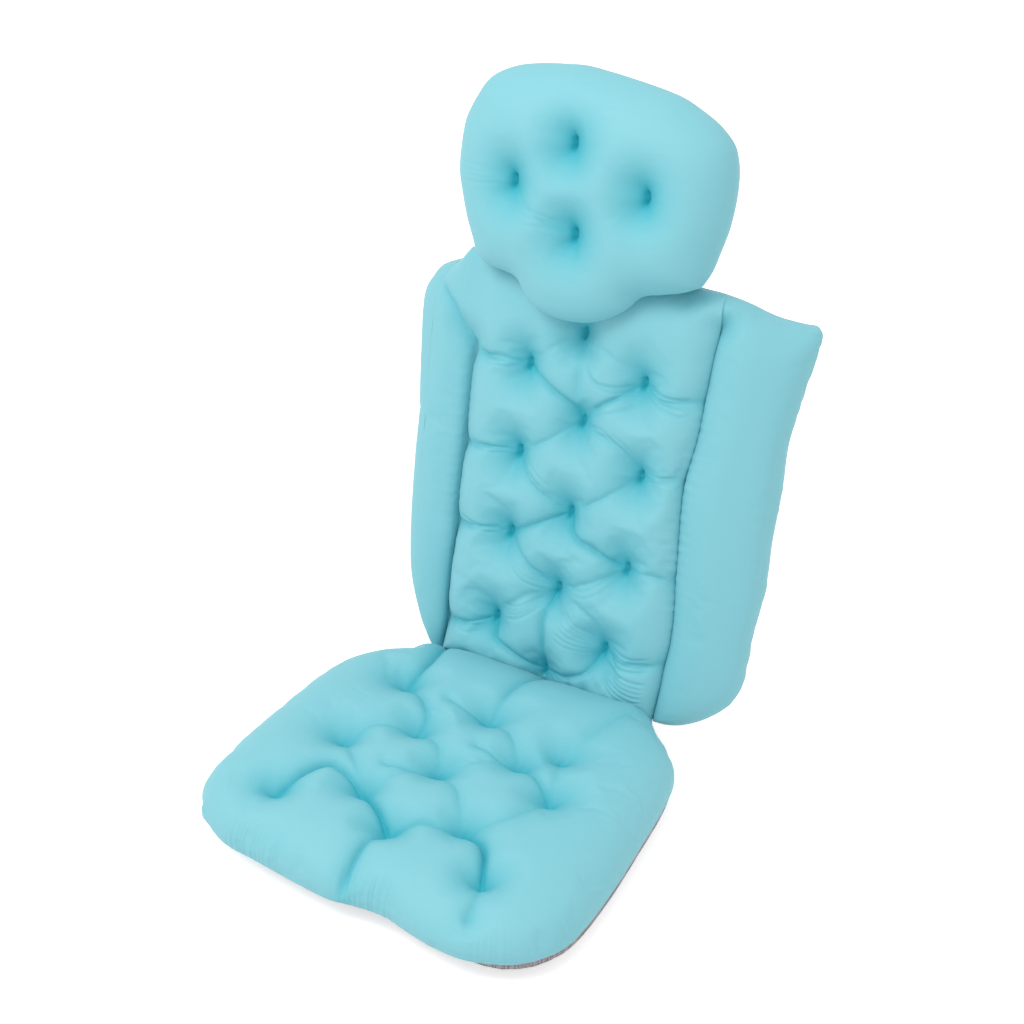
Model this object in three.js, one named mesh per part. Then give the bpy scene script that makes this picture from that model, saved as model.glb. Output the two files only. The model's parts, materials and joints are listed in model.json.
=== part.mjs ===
// A bath pillow for the whole body: a tufted seat pad, a tufted back panel with
// two side bolsters, and a thick tufted head pillow, sewn to each other at fold seams.
// Each pad is a stretch cover over fibre filling on an air-mesh backing, and suction
// cups with buttoned necks hold the seat, the back and the head to the tub.
//
// Every pad is drawn flat: x runs across, y runs along the pillow from the seat's front
// to the head's top, z = 0 is the seam where cover and backing meet, and +z faces the bather.
// Lengths are in millimetres and angles in degrees.

import * as THREE from 'three';

// Driving dimensions of the whole pillow
const foldHalfWidth = 151;
const backLength = 542;
const reclineAngle = 14.6;
const headForwardAngle = 3;
const wingBackAngle = 28;

// Cloth, seams and the clearance between pieces that touch
const clearance = 0.3;
const clothThickness = 1.6;
const seamRadius = 2.2;
const seamEndGap = 8;
const padEdge = seamRadius + clearance;

// Air-mesh backing under every pad
const backingThickness = 8;
const backingFoldEdge = 1.5;
const backingFoldTaper = 14;
const backingFreeEdge = 5;
const backingFreeBevel = 3;

// Tufts: how wide each dimple spreads, and the pulled channels between neighbours
const dimpleRadius = 23;
const channelRadius = 16;
const channelDepthShare = 0.36;
const dimplePower = 1.5;

const seat = {
  depth: 462,
  frontBow: 6,
  frontHalfWidth: 242,
  sideBow: 18,
  rearHalfWidth: 235,
  frontCorner: 74,
  rearCornerLength: 130,
  rearTurnShare: 0.6,
  rearRiseShare: 0.16,
  crown: 56,
  doming: 7,
  tuftHeight: 27,
  tuftLink: 100,
  edgeCells: { side: 5, lower: 5, upper: 5 },
  edges: {
    front: { width: 62, fullness: 0.5 },
    side: { width: 66, fullness: 0.52 },
    fold: { width: 112, fullness: 1.12 },
  },
};

// Seat tufts stand in five rows, three and two by turns, that spread towards the front
const seatTufts = {
  firstRow: 0.325 * seat.depth,
  rowPitch: 0.1266 * seat.depth,
  rows: 5,
  halfWidth: 0.537 * seat.frontHalfWidth,
  spreadShare: 0.049,
  innerShare: 0.53,
};

const back = {
  corner: 12,
  crown: 43,
  doming: 3,
  tuftHeight: 15,
  tuftLink: 104,
  edgeCells: { side: 3, lower: 2, upper: 4 },
  edges: {
    side: { width: 42, fullness: 0.5 },
    fold: { width: 104, fullness: 1.12 },
  },
};

// Back tufts stand in three columns, and the middle one is half a pitch higher
const backTufts = {
  halfWidth: 78,
  firstSideRow: 79,
  firstMiddleRow: 23,
  lastMiddleRow: backLength - 77,
  sideRows: 4,
  middleRows: 5,
};
const backPitch = (backTufts.lastMiddleRow - backTufts.firstMiddleRow) / (backTufts.middleRows - 1);

const wing = {
  bottom: 6,
  width: 102,
  topWidth: 113,
  outerTop: backLength - 34,
  innerTop: backLength - 8,
  bottomCorner: 80,
  topCorner: 20,
  crown: 38,
  doming: 4,
  tuftHeight: 0,
  tuftLink: 0,
  edgeCells: { side: 3, lower: 8, upper: 8 },
  edges: {
    seam: { width: 40, fullness: 0.5 },
    outer: { width: 46, fullness: 0.52 },
    end: { width: 62, fullness: 0.55 },
  },
};

const head = {
  foldGap: 3.6,
  foldHalfWidth: 122,
  halfWidth: 170,
  leanShare: 0.08,
  widestAt: 108,
  top: 222,
  foldTurnShare: 0.3,
  sideTurnShare: 0.56,
  shoulderShare: 0.47,
  topTurnShare: 0.74,
  crown: 98,
  doming: 8,
  tuftHeight: 76,
  tuftLink: 105,
  lobeDrop: 62,
  lobeHalfWidth: 74,
  lobeReach: 110,
  lobeHeight: 60,
  sideBulge: 14,
  bulgeHeight: 84,
  edgeCells: { side: 4, lower: 4, upper: 4 },
  edges: {
    fold: { width: 58, fullness: 0.5 },
    side: { width: 88, fullness: 0.5 },
    top: { width: 88, fullness: 0.5 },
  },
};

// Head tufts stand in a diamond
const headTufts = { middle: 94, halfWidth: 83, halfHeight: 52 };

// Suction cup: a button held behind a sewn patch, a neck, and a shallow bell
const cup = {
  buttonRadius: 8.5,
  buttonHeight: 2.8,
  neckRadius: 5,
  shoulderRadius: 13,
  shoulderDrop: 4,
  rimRadius: 24,
  bellHeight: 11,
  rimHeight: 1.5,
  rimWidth: 3,
  hollowDepth: 3.4,
  segments: 10,
};

// Patch: a sewn round of webbing with a pocket for the button and a buttonhole for the neck
const patch = { radius: 26, thickness: 1.2, pocketRadius: 13, pocketSlope: 5 };

// Cups stand in by these lengths from each pad's sides, and from its fold and its far end
const cupInsets = {
  seat: { side: 88.5, fold: 52, end: 60 },
  back: { side: 53, fold: 76, end: 76 },
  head: { side: 82, fold: 58, end: 58 },
};
const seatCups = {
  halfWidth: (seat.frontHalfWidth + seat.rearHalfWidth) / 2 - cupInsets.seat.side,
  rows: [cupInsets.seat.fold, seat.depth / 2, seat.depth - cupInsets.seat.end],
};
const backCups = {
  halfWidth: foldHalfWidth - cupInsets.back.side,
  rows: [cupInsets.back.fold, backLength / 2, backLength - cupInsets.back.end],
};
const headCups = {
  halfWidth: head.halfWidth - cupInsets.head.side,
  rows: [cupInsets.head.fold, head.top - cupInsets.head.end],
};

// Hanging loop: a folded webbing strap behind the head's top edge
const loop = { width: 12, thickness: 1.4, span: 34, depth: 24, fromTop: 12, steps: 12 };

// Steps along an outline when its length and its distance to a point are measured, and the
// flat faces round a seam
const outlineSamples = 400;
const sideSamples = 48;
const seamFacets = 12;
// Grid lines between two neighbouring tuft rows, and how they crowd towards a pad's edge
const cellsPerPitch = 3;
const edgeCrowding = 1.5;

const stretchCloth = { color: 0x86cad9, roughness: 0.62, metalness: 0 };
const fibre = { color: 0xf1f1ee, roughness: 0.95, metalness: 0 };
const airMesh = { color: 0x9a9196, roughness: 0.9, metalness: 0 };
const clearVinyl = { color: 0xd9e2e4, roughness: 0.2, metalness: 0 };
const webbing = { color: 0x6fb4c4, roughness: 0.85, metalness: 0 };
const seamCloth = { color: 0x5fb3c6, roughness: 0.75, metalness: 0 };

const toRadians = THREE.MathUtils.degToRad;

// Outlines, each drawn anticlockwise in the pad's own plane

function seatOutline() {
  const front = -seat.depth;
  const bowed = front - 2 * seat.frontBow;
  const frontTurn = seat.frontHalfWidth - seat.frontCorner;
  const sideMiddle = (front - seat.rearCornerLength) / 2;
  const widest = (seat.frontHalfWidth + seat.rearHalfWidth) / 2 + seat.sideBow;
  const rearTurn = -seat.rearCornerLength * seat.rearTurnShare;
  const rearRise = -seat.rearCornerLength * seat.rearRiseShare;
  const outline = new THREE.Shape();
  outline.moveTo(-frontTurn, front);
  outline.quadraticCurveTo(0, bowed, frontTurn, front);
  outline.quadraticCurveTo(seat.frontHalfWidth, front, seat.frontHalfWidth, front + seat.frontCorner);
  outline.quadraticCurveTo(widest, sideMiddle, seat.rearHalfWidth, -seat.rearCornerLength);
  outline.bezierCurveTo(
    seat.rearHalfWidth, rearTurn,
    (seat.rearHalfWidth + foldHalfWidth) / 2, rearRise,
    foldHalfWidth, -padEdge,
  );
  outline.lineTo(-foldHalfWidth, -padEdge);
  outline.bezierCurveTo(
    -(seat.rearHalfWidth + foldHalfWidth) / 2, rearRise,
    -seat.rearHalfWidth, rearTurn,
    -seat.rearHalfWidth, -seat.rearCornerLength,
  );
  outline.quadraticCurveTo(-widest, sideMiddle, -seat.frontHalfWidth, front + seat.frontCorner);
  outline.quadraticCurveTo(-seat.frontHalfWidth, front, -frontTurn, front);
  return outline;
}

function backOutline() {
  const right = foldHalfWidth - padEdge;
  const bottom = padEdge;
  const top = backLength - padEdge;
  const outline = new THREE.Shape();
  outline.moveTo(-right + back.corner, bottom);
  outline.lineTo(right - back.corner, bottom);
  outline.quadraticCurveTo(right, bottom, right, bottom + back.corner);
  outline.lineTo(right, top - back.corner);
  outline.quadraticCurveTo(right, top, right - back.corner, top);
  outline.lineTo(-right + back.corner, top);
  outline.quadraticCurveTo(-right, top, -right, top - back.corner);
  outline.lineTo(-right, bottom + back.corner);
  outline.quadraticCurveTo(-right, bottom, -right + back.corner, bottom);
  return outline;
}

function wingOutline() {
  const outline = new THREE.Shape();
  const cornerRise = wing.topCorner * (wing.innerTop - wing.outerTop) / wing.topWidth;
  outline.moveTo(padEdge, wing.bottom);
  outline.lineTo(wing.width - wing.bottomCorner, wing.bottom);
  outline.quadraticCurveTo(wing.width, wing.bottom, wing.width, wing.bottom + wing.bottomCorner);
  outline.lineTo(wing.topWidth, wing.outerTop - wing.topCorner);
  outline.quadraticCurveTo(
    wing.topWidth, wing.outerTop,
    wing.topWidth - wing.topCorner, wing.outerTop + cornerRise,
  );
  outline.lineTo(padEdge, wing.innerTop);
  outline.lineTo(padEdge, wing.bottom);
  return outline;
}

// The head leans towards its left the further it stands above its fold
function onLeaningHead(x, y) {
  return [x - head.leanShare * y, y];
}

function headOutline() {
  const foldTurn = head.foldHalfWidth + (head.halfWidth - head.foldHalfWidth) * head.foldTurnShare;
  const sideTurn = head.widestAt * head.sideTurnShare;
  const shoulder = head.widestAt + (head.top - head.widestAt) * head.shoulderShare;
  const topTurn = head.halfWidth * head.topTurnShare;
  const outline = new THREE.Shape();
  outline.moveTo(...onLeaningHead(-head.foldHalfWidth, head.foldGap));
  outline.lineTo(...onLeaningHead(head.foldHalfWidth, head.foldGap));
  outline.bezierCurveTo(
    ...onLeaningHead(foldTurn, head.foldGap),
    ...onLeaningHead(head.halfWidth, sideTurn),
    ...onLeaningHead(head.halfWidth, head.widestAt),
  );
  outline.bezierCurveTo(
    ...onLeaningHead(head.halfWidth, shoulder),
    ...onLeaningHead(topTurn, head.top),
    ...onLeaningHead(0, head.top),
  );
  outline.bezierCurveTo(
    ...onLeaningHead(-topTurn, head.top),
    ...onLeaningHead(-head.halfWidth, shoulder),
    ...onLeaningHead(-head.halfWidth, head.widestAt),
  );
  outline.bezierCurveTo(
    ...onLeaningHead(-head.halfWidth, sideTurn),
    ...onLeaningHead(-foldTurn, head.foldGap),
    ...onLeaningHead(-head.foldHalfWidth, head.foldGap),
  );
  return outline;
}

// Tuft places

function seatTuftPlaces() {
  const places = [];
  const middleRow = (seatTufts.rows - 1) / 2;
  for (let row = 0; row < seatTufts.rows; row += 1) {
    const y = -(seatTufts.firstRow + row * seatTufts.rowPitch);
    const half = seatTufts.halfWidth * (1 + seatTufts.spreadShare * (row - middleRow));
    if (row % 2 === 0) {
      places.push([-half, y], [0, y], [half, y]);
    } else {
      places.push([-half * seatTufts.innerShare, y], [half * seatTufts.innerShare, y]);
    }
  }
  return places;
}

function backTuftPlaces() {
  const places = [];
  for (let row = 0; row < backTufts.sideRows; row += 1) {
    const y = backTufts.firstSideRow + row * backPitch;
    places.push([-backTufts.halfWidth, y], [backTufts.halfWidth, y]);
  }
  for (let row = 0; row < backTufts.middleRows; row += 1) {
    places.push([0, backTufts.firstMiddleRow + row * backPitch]);
  }
  return places;
}

function headTuftPlaces() {
  return [
    onLeaningHead(0, highHeadRow),
    onLeaningHead(0, lowHeadRow),
    onLeaningHead(-headTufts.halfWidth, headTufts.middle),
    onLeaningHead(headTufts.halfWidth, headTufts.middle),
  ];
}

// The four sides of an outline meet at its corners, the points furthest out along the diagonals

const corners = [[-1, -1], [1, -1], [1, 1], [-1, 1]];
const lowerSide = 0;
const rightSide = 1;
const upperSide = 2;
const leftSide = 3;

function outlineSides(outline) {
  const points = outline.getSpacedPoints(outlineSamples);
  const bounds = new THREE.Box2().setFromPoints(points);
  const size = bounds.getSize(new THREE.Vector2());
  const starts = corners.map(([towardsX, towardsY]) => {
    let best = 0;
    let furthest = -Infinity;
    points.forEach((point, index) => {
      const reach = towardsX * point.x / size.x + towardsY * point.y / size.y;
      if (reach > furthest) {
        furthest = reach;
        best = index / outlineSamples;
      }
    });
    return best;
  });
  return starts.map((start, index) => {
    const end = starts[(index + 1) % starts.length];
    const span = (end - start + 1) % 1;
    return (share) => outline.getPointAt((start + share * span) % 1);
  });
}

// Grid lines from one edge to the other, as shares of the way: evenly spaced from the first
// tuft row to the last, and closer and closer together from there to the edges
function lineShares({ first, last, pitches, lowerCells, upperCells }) {
  const shares = [];
  for (let line = 0; line < lowerCells; line += 1) {
    shares.push(first * (line / lowerCells) ** edgeCrowding);
  }
  const cells = pitches * cellsPerPitch;
  for (let line = 0; line < cells; line += 1) {
    shares.push(first + (last - first) * line / cells);
  }
  for (let line = upperCells; line >= 0; line -= 1) {
    shares.push(1 - (1 - last) * (line / upperCells) ** edgeCrowding);
  }
  return shares;
}

// A Coons patch fills the outline with a grid that follows all four sides
function flatGrid(sides, across, along) {
  const [lower, right, upper, left] = sides;
  return along.map((t) => across.map((s) => {
    const point = new THREE.Vector2();
    point.addScaledVector(lower(s), 1 - t);
    point.addScaledVector(upper(1 - s), t);
    point.addScaledVector(left(1 - t), 1 - s);
    point.addScaledVector(right(t), s);
    point.addScaledVector(lower(0), -(1 - s) * (1 - t));
    point.addScaledVector(right(0), -s * (1 - t));
    point.addScaledVector(upper(0), -s * t);
    point.addScaledVector(left(0), -(1 - s) * t);
    return point;
  }));
}

// The grid point nearest to each tuft moves onto it, so that the dimple reaches its full depth
function snapToTufts(grid, tufts) {
  tufts.forEach(([x, y]) => {
    const place = new THREE.Vector2(x, y);
    let nearest = null;
    grid.slice(1, -1).forEach((line) => {
      line.slice(1, -1).forEach((point) => {
        if (nearest === null || point.distanceTo(place) < nearest.distanceTo(place)) nearest = point;
      });
    });
    nearest.copy(place);
  });
}

function distanceToSegment(point, from, to) {
  const along = to.clone().sub(from);
  const share = THREE.MathUtils.clamp(point.clone().sub(from).dot(along) / along.lengthSq(), 0, 1);
  return point.distanceTo(from.clone().addScaledVector(along, share));
}

function distanceToSide(point, side) {
  let least = Infinity;
  let from = side(0);
  for (let step = 1; step <= sideSamples; step += 1) {
    const to = side(step / sideSamples);
    least = Math.min(least, distanceToSegment(point, from, to));
    from = to;
  }
  return least;
}

// The cover rolls up from its seam: a fullness of one half is a quarter ellipse,
// and one or more starts as a flat slope that leaves room for the fold
function edgeRoll(distance, edge) {
  const share = Math.min(distance / edge.width, 1);
  return (1 - (1 - share) ** 2) ** edge.fullness;
}

function tuftPull(point, tufts, tuftLink) {
  const places = tufts.map(([x, y]) => new THREE.Vector2(x, y));
  let left = 1;
  places.forEach((place, index) => {
    left *= 1 - 1 / (1 + (point.distanceTo(place) / dimpleRadius) ** 2) ** dimplePower;
    places.slice(index + 1).forEach((other) => {
      if (place.distanceTo(other) < tuftLink) {
        const off = distanceToSegment(point, place, other) / channelRadius;
        left *= 1 - channelDepthShare * Math.exp(-off * off);
      }
    });
  });
  return 1 - left;
}

function coverHeight(pad, point) {
  const rolls = pad.sides.map((side, index) => (
    edgeRoll(distanceToSide(point, side), pad.sideEdges[index])
  ));
  const roll = rolls.reduce((product, value) => product * value, 1);
  const plain = pad.size.crown * roll + pad.size.doming * roll * roll;
  const depth = Math.max(plain - pad.size.tuftHeight, 0);
  return plain - depth * tuftPull(point, pad.tufts, pad.size.tuftLink);
}

// The grid of a pad's cover as rows of points in space
function coverGrid(pad) {
  const flat = flatGrid(pad.sides, pad.across, pad.along);
  snapToTufts(flat, pad.tufts);
  const lastRow = pad.along.length - 1;
  const lastColumn = pad.across.length - 1;
  return flat.map((line, row) => line.map((point, column) => {
    const onEdge = row === 0 || column === 0 || row === lastRow || column === lastColumn;
    const height = onEdge ? 0 : coverHeight(pad, point);
    return pad.drape(new THREE.Vector3(point.x, point.y, height));
  }));
}

function rimIndices(columns, rows) {
  const indices = [];
  const stride = columns + 1;
  for (let column = 0; column < columns; column += 1) indices.push(column);
  for (let row = 0; row < rows; row += 1) indices.push(row * stride + columns);
  for (let column = columns; column > 0; column -= 1) indices.push(rows * stride + column);
  for (let row = rows; row > 0; row -= 1) indices.push(row * stride);
  return indices;
}

function gridTriangles(columns, rows, offset, faceUp) {
  const triangles = [];
  const stride = columns + 1;
  for (let row = 0; row < rows; row += 1) {
    for (let column = 0; column < columns; column += 1) {
      const a = offset + row * stride + column;
      const b = a + 1;
      const c = a + stride + 1;
      const d = a + stride;
      const faces = (row + column) % 2 === 0 ? [[a, b, c], [a, c, d]] : [[a, b, d], [b, c, d]];
      faces.forEach((face) => triangles.push(...(faceUp ? face : face.reverse())));
    }
  }
  return triangles;
}

function bodyFrom(points, triangles) {
  const geometry = new THREE.BufferGeometry().setFromPoints(points);
  geometry.setIndex(triangles);
  geometry.computeVertexNormals();
  return geometry;
}

// The same grid moved inwards along its normals, with its rim kept on the seam plane
function insetPoints(points, columns, rows, distance) {
  const surface = bodyFrom(points, gridTriangles(columns, rows, 0, true));
  const normals = surface.getAttribute('normal');
  const rim = new Set(rimIndices(columns, rows));
  return points.map((point, index) => {
    const normal = new THREE.Vector3().fromBufferAttribute(normals, index);
    if (rim.has(index)) {
      const outward = new THREE.Vector3(normal.x, normal.y, 0).normalize();
      return point.clone().addScaledVector(outward, -distance);
    }
    const moved = point.clone().addScaledVector(normal, -distance);
    moved.z = point.z * (1 - normal.z * distance / (point.z + distance));
    return moved;
  });
}

function coverGeometry(pad) {
  const { columns, rows } = pad;
  const outer = pad.grid.flat();
  const inner = insetPoints(outer, columns, rows, clothThickness);
  const rim = rimIndices(columns, rows);
  const triangles = gridTriangles(columns, rows, 0, true);
  triangles.push(...gridTriangles(columns, rows, outer.length, false));
  rim.forEach((here, step) => {
    const next = rim[(step + 1) % rim.length];
    triangles.push(here, here + outer.length, next);
    triangles.push(next, here + outer.length, next + outer.length);
  });
  return bodyFrom([...outer, ...inner], triangles);
}

function fillingGeometry(pad) {
  const { columns, rows } = pad;
  const points = insetPoints(pad.grid.flat(), columns, rows, clothThickness + 2 * clearance);
  const rim = rimIndices(columns, rows);
  const outline = rim.map((index) => new THREE.Vector2(points[index].x, points[index].y));
  const triangles = gridTriangles(columns, rows, 0, true);
  THREE.ShapeUtils.triangulateShape(outline, []).forEach(([a, b, c]) => {
    triangles.push(rim[c], rim[b], rim[a]);
  });
  return bodyFrom(points, triangles);
}

// The backing keeps its thickness to a free edge and thins out towards a fold. Its under side
// is the outline fitted into a box that is smaller by each side's bevel or taper.
function backingGeometry(pad) {
  const { columns, rows } = pad;
  const points = pad.grid.flat();
  const rim = rimIndices(columns, rows);
  const sideOf = (step) => {
    if (step < columns) return lowerSide;
    if (step < columns + rows) return rightSide;
    if (step < 2 * columns + rows) return upperSide;
    return leftSide;
  };
  const ring = rim.map((index, step) => {
    const sides = [sideOf(step), sideOf((step + rim.length - 1) % rim.length)];
    const folds = sides.some((side) => pad.foldSides.includes(side));
    return { at: new THREE.Vector2(points[index].x, points[index].y), folds };
  });
  const top = -clearance;
  const edge = ring.map(({ at, folds }) => (
    new THREE.Vector3(at.x, at.y, top - (folds ? backingFoldEdge : backingFreeEdge))
  ));
  const insets = pad.sides.map((side, index) => (
    pad.foldSides.includes(index) ? backingFoldTaper : backingFreeBevel
  ));
  const outer = new THREE.Box2().setFromPoints(ring.map(({ at }) => at));
  const low = outer.min.clone().add(new THREE.Vector2(insets[leftSide], insets[lowerSide]));
  const high = outer.max.clone().sub(new THREE.Vector2(insets[rightSide], insets[upperSide]));
  const under = ring.map(({ at }) => new THREE.Vector3(
    THREE.MathUtils.mapLinear(at.x, outer.min.x, outer.max.x, low.x, high.x),
    THREE.MathUtils.mapLinear(at.y, outer.min.y, outer.max.y, low.y, high.y),
    top - backingThickness,
  ));
  const upper = ring.map(({ at }) => new THREE.Vector3(at.x, at.y, top));
  const count = ring.length;
  const triangles = [];
  const flatten = (loopPoints) => loopPoints.map((point) => new THREE.Vector2(point.x, point.y));
  THREE.ShapeUtils.triangulateShape(flatten(upper), []).forEach(([a, b, c]) => triangles.push(a, b, c));
  THREE.ShapeUtils.triangulateShape(flatten(under), []).forEach(([a, b, c]) => {
    triangles.push(2 * count + c, 2 * count + b, 2 * count + a);
  });
  for (let step = 0; step < count; step += 1) {
    const next = (step + 1) % count;
    [0, count].forEach((level) => {
      triangles.push(level + step, level + count + step, level + next);
      triangles.push(level + next, level + count + step, level + count + next);
    });
  }
  return bodyFrom([...upper, ...edge, ...under], triangles);
}

function mirrored(geometry) {
  const copy = geometry.clone().scale(-1, 1, 1);
  const index = Array.from(copy.getIndex().array);
  for (let first = 0; first < index.length; first += 3) {
    [index[first + 1], index[first + 2]] = [index[first + 2], index[first + 1]];
  }
  copy.setIndex(index);
  copy.computeVertexNormals();
  return copy;
}

function piece(name, geometry, finish) {
  const mesh = new THREE.Mesh(geometry, new THREE.MeshStandardMaterial(finish));
  mesh.name = name;
  return mesh;
}

// Pads: a size table with its outline's sides, its tufts, its edge rolls and its folds

const noDrape = (point) => point;

function makePad({ size, outline, tufts, across, along, sideEdges, foldSides, drape = noDrape }) {
  const pad = { size, sides: outlineSides(outline), tufts, across, along, sideEdges, foldSides, drape };
  pad.columns = across.length - 1;
  pad.rows = along.length - 1;
  pad.grid = coverGrid(pad);
  return pad;
}

// The head bulges out over its seam all round, and its front sags over its fold in the middle
function bulgeAndSag(point) {
  const rise = Math.min(point.z / head.bulgeHeight, 1);
  const away = new THREE.Vector3(point.x, point.y - head.widestAt, 0).normalize();
  const low = THREE.MathUtils.clamp(1 - point.y / head.lobeReach, 0, 1);
  const across = Math.exp(-((point.x / head.lobeHalfWidth) ** 2));
  const out = Math.min(point.z / head.lobeHeight, 1);
  point.addScaledVector(away, head.sideBulge * Math.sin(Math.PI * rise));
  point.y -= head.lobeDrop * low * across * out;
  return point;
}

function padPieces(name, pad, flip = false) {
  const turn = flip ? mirrored : (geometry) => geometry;
  return [
    piece(`${name}_cover`, turn(coverGeometry(pad)), stretchCloth),
    piece(`${name}_filling`, turn(fillingGeometry(pad)), fibre),
    piece(`${name}_backing`, turn(backingGeometry(pad)), airMesh),
  ];
}

// Suction cups hang below the backing, so their profiles run down from z = 0 at its face

const pocketDepth = cup.buttonHeight + 2 * clearance;
const patchFace = clearance + pocketDepth + patch.thickness;
const bellTop = patchFace + clearance;
const cupDepth = bellTop + cup.shoulderDrop + cup.bellHeight + cup.rimHeight;
const hole = cup.neckRadius + clearance;

function cupGeometry() {
  const button = 2 * clearance;
  const bellFoot = bellTop + cup.shoulderDrop + cup.bellHeight;
  const profile = [
    [0, -cupDepth + cup.hollowDepth],
    [cup.rimRadius - cup.rimWidth, -cupDepth],
    [cup.rimRadius, -cupDepth],
    [cup.rimRadius, -bellFoot],
    [cup.shoulderRadius, -bellTop - cup.shoulderDrop],
    [cup.neckRadius, -bellTop],
    [cup.neckRadius, -button - cup.buttonHeight],
    [cup.buttonRadius, -button - cup.buttonHeight],
    [cup.buttonRadius, -button],
    [0, -button],
  ];
  return new THREE.LatheGeometry(profile.map(([r, z]) => new THREE.Vector2(r, z)), cup.segments);
}

function patchGeometry() {
  const flange = patch.pocketRadius + patch.pocketSlope;
  const pocket = clearance + pocketDepth;
  const profile = [
    [hole, -pocket - patch.thickness],
    [patch.pocketRadius + patch.thickness, -pocket - patch.thickness],
    [patch.radius, -clearance - patch.thickness],
    [patch.radius, -clearance],
    [flange, -clearance],
    [patch.pocketRadius, -pocket],
    [hole, -pocket],
    [hole, -pocket - patch.thickness],
  ];
  return new THREE.LatheGeometry(profile.map(([r, z]) => new THREE.Vector2(r, z)), cup.segments);
}

function cupPieces(name, layout, direction) {
  const pieces = [];
  layout.rows.forEach((row) => {
    [-1, 1].forEach((side) => {
      const number = pieces.length / 2 + 1;
      const bell = piece(`${name}_cup_${number}`, cupGeometry().rotateX(Math.PI / 2), clearVinyl);
      const sewn = piece(`${name}_patch_${number}`, patchGeometry().rotateX(Math.PI / 2), webbing);
      [bell, sewn].forEach((mesh) => {
        mesh.position.set(side * layout.halfWidth, direction * row, -clearance - backingThickness);
        pieces.push(mesh);
      });
    });
  });
  return pieces;
}

// A fold seam is the rolled seam allowance of the two covers it joins, round its fold's axis
function seamPiece(name, length) {
  const geometry = new THREE.CylinderGeometry(seamRadius, seamRadius, length, seamFacets);
  return piece(name, geometry, seamCloth);
}

function acrossSeam(name, halfLength) {
  const seam = seamPiece(name, 2 * halfLength);
  seam.rotation.z = Math.PI / 2;
  return seam;
}

function hangingLoop() {
  const face = -2 * clearance - backingThickness;
  const upper = head.top - loop.fromTop;
  const lower = upper - loop.span;
  const path = new THREE.CubicBezierCurve3(
    new THREE.Vector3(0, upper, face),
    new THREE.Vector3(0, upper, face - loop.depth),
    new THREE.Vector3(0, lower, face - loop.depth),
    new THREE.Vector3(0, lower, face),
  );
  const strap = new THREE.Shape();
  strap.moveTo(-loop.width / 2, -loop.thickness / 2);
  strap.lineTo(loop.width / 2, -loop.thickness / 2);
  strap.lineTo(loop.width / 2, loop.thickness / 2);
  strap.lineTo(-loop.width / 2, loop.thickness / 2);
  const options = { steps: loop.steps, extrudePath: path, bevelEnabled: false };
  const geometry = new THREE.ExtrudeGeometry(strap, options);
  return piece('hanging_loop', geometry, webbing);
}

// The pads: grid lines run across through the outer tuft columns, and along through the tuft rows

function linesAcross(size, outerColumn, halfWidth, pitches) {
  const first = (1 - outerColumn / halfWidth) / 2;
  const { side } = size.edgeCells;
  return lineShares({ first, last: 1 - first, pitches, lowerCells: side, upperCells: side });
}

function linesAlong(size, first, last, pitches) {
  const { lower, upper } = size.edgeCells;
  return lineShares({ first, last, pitches, lowerCells: lower, upperCells: upper });
}

const lastSeatRow = seatTufts.firstRow + (seatTufts.rows - 1) * seatTufts.rowPitch;
const lowHeadRow = headTufts.middle - headTufts.halfHeight;
const highHeadRow = headTufts.middle + headTufts.halfHeight;

const seatPad = makePad({
  size: seat,
  outline: seatOutline(),
  tufts: seatTuftPlaces(),
  across: linesAcross(seat, seatTufts.halfWidth, seat.frontHalfWidth, seatTufts.rows - 1),
  along: linesAlong(
    seat,
    1 - lastSeatRow / seat.depth,
    1 - seatTufts.firstRow / seat.depth,
    seatTufts.rows - 1,
  ),
  sideEdges: [seat.edges.front, seat.edges.side, seat.edges.fold, seat.edges.side],
  foldSides: [upperSide],
});

const backPad = makePad({
  size: back,
  outline: backOutline(),
  tufts: backTuftPlaces(),
  across: linesAcross(back, backTufts.halfWidth, foldHalfWidth, 2),
  along: linesAlong(
    back,
    backTufts.firstMiddleRow / backLength,
    backTufts.lastMiddleRow / backLength,
    2 * (backTufts.middleRows - 1),
  ),
  sideEdges: [back.edges.fold, back.edges.side, back.edges.fold, back.edges.side],
  foldSides: [lowerSide, rightSide, upperSide, leftSide],
});

const wingPad = makePad({
  size: wing,
  outline: wingOutline(),
  tufts: [],
  across: linesAcross(wing, 0, wing.width, 0),
  along: linesAlong(wing, 1 / 2, 1 / 2, 0),
  sideEdges: [wing.edges.end, wing.edges.outer, wing.edges.end, wing.edges.seam],
  foldSides: [leftSide],
});

const headPad = makePad({
  size: head,
  outline: headOutline(),
  tufts: headTuftPlaces(),
  across: linesAcross(head, headTufts.halfWidth, head.halfWidth, 2),
  along: linesAlong(head, lowHeadRow / head.top, highHeadRow / head.top, 2),
  sideEdges: [head.edges.fold, head.edges.side, head.edges.top, head.edges.side],
  foldSides: [lowerSide],
  drape: bulgeAndSag,
});

// Assembly: each body is a group whose origin lies on the seam that it folds about

const headBody = new THREE.Group();
headBody.position.y = backLength;
headBody.rotation.x = toRadians(headForwardAngle);
headBody.add(...padPieces('head', headPad), ...cupPieces('head', headCups, 1), hangingLoop());

function wingBody(name, side) {
  const body = new THREE.Group();
  body.position.x = side * foldHalfWidth;
  body.rotation.y = side * toRadians(wingBackAngle);
  body.add(...padPieces(name, wingPad, side < 0));
  return body;
}

function wingSeam(name, side) {
  const seam = seamPiece(name, wing.innerTop - wing.bottom);
  seam.position.set(side * foldHalfWidth, (wing.innerTop + wing.bottom) / 2, 0);
  return seam;
}

const headSeam = acrossSeam('head_fold_seam', head.foldHalfWidth);
headSeam.position.y = backLength;

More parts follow.
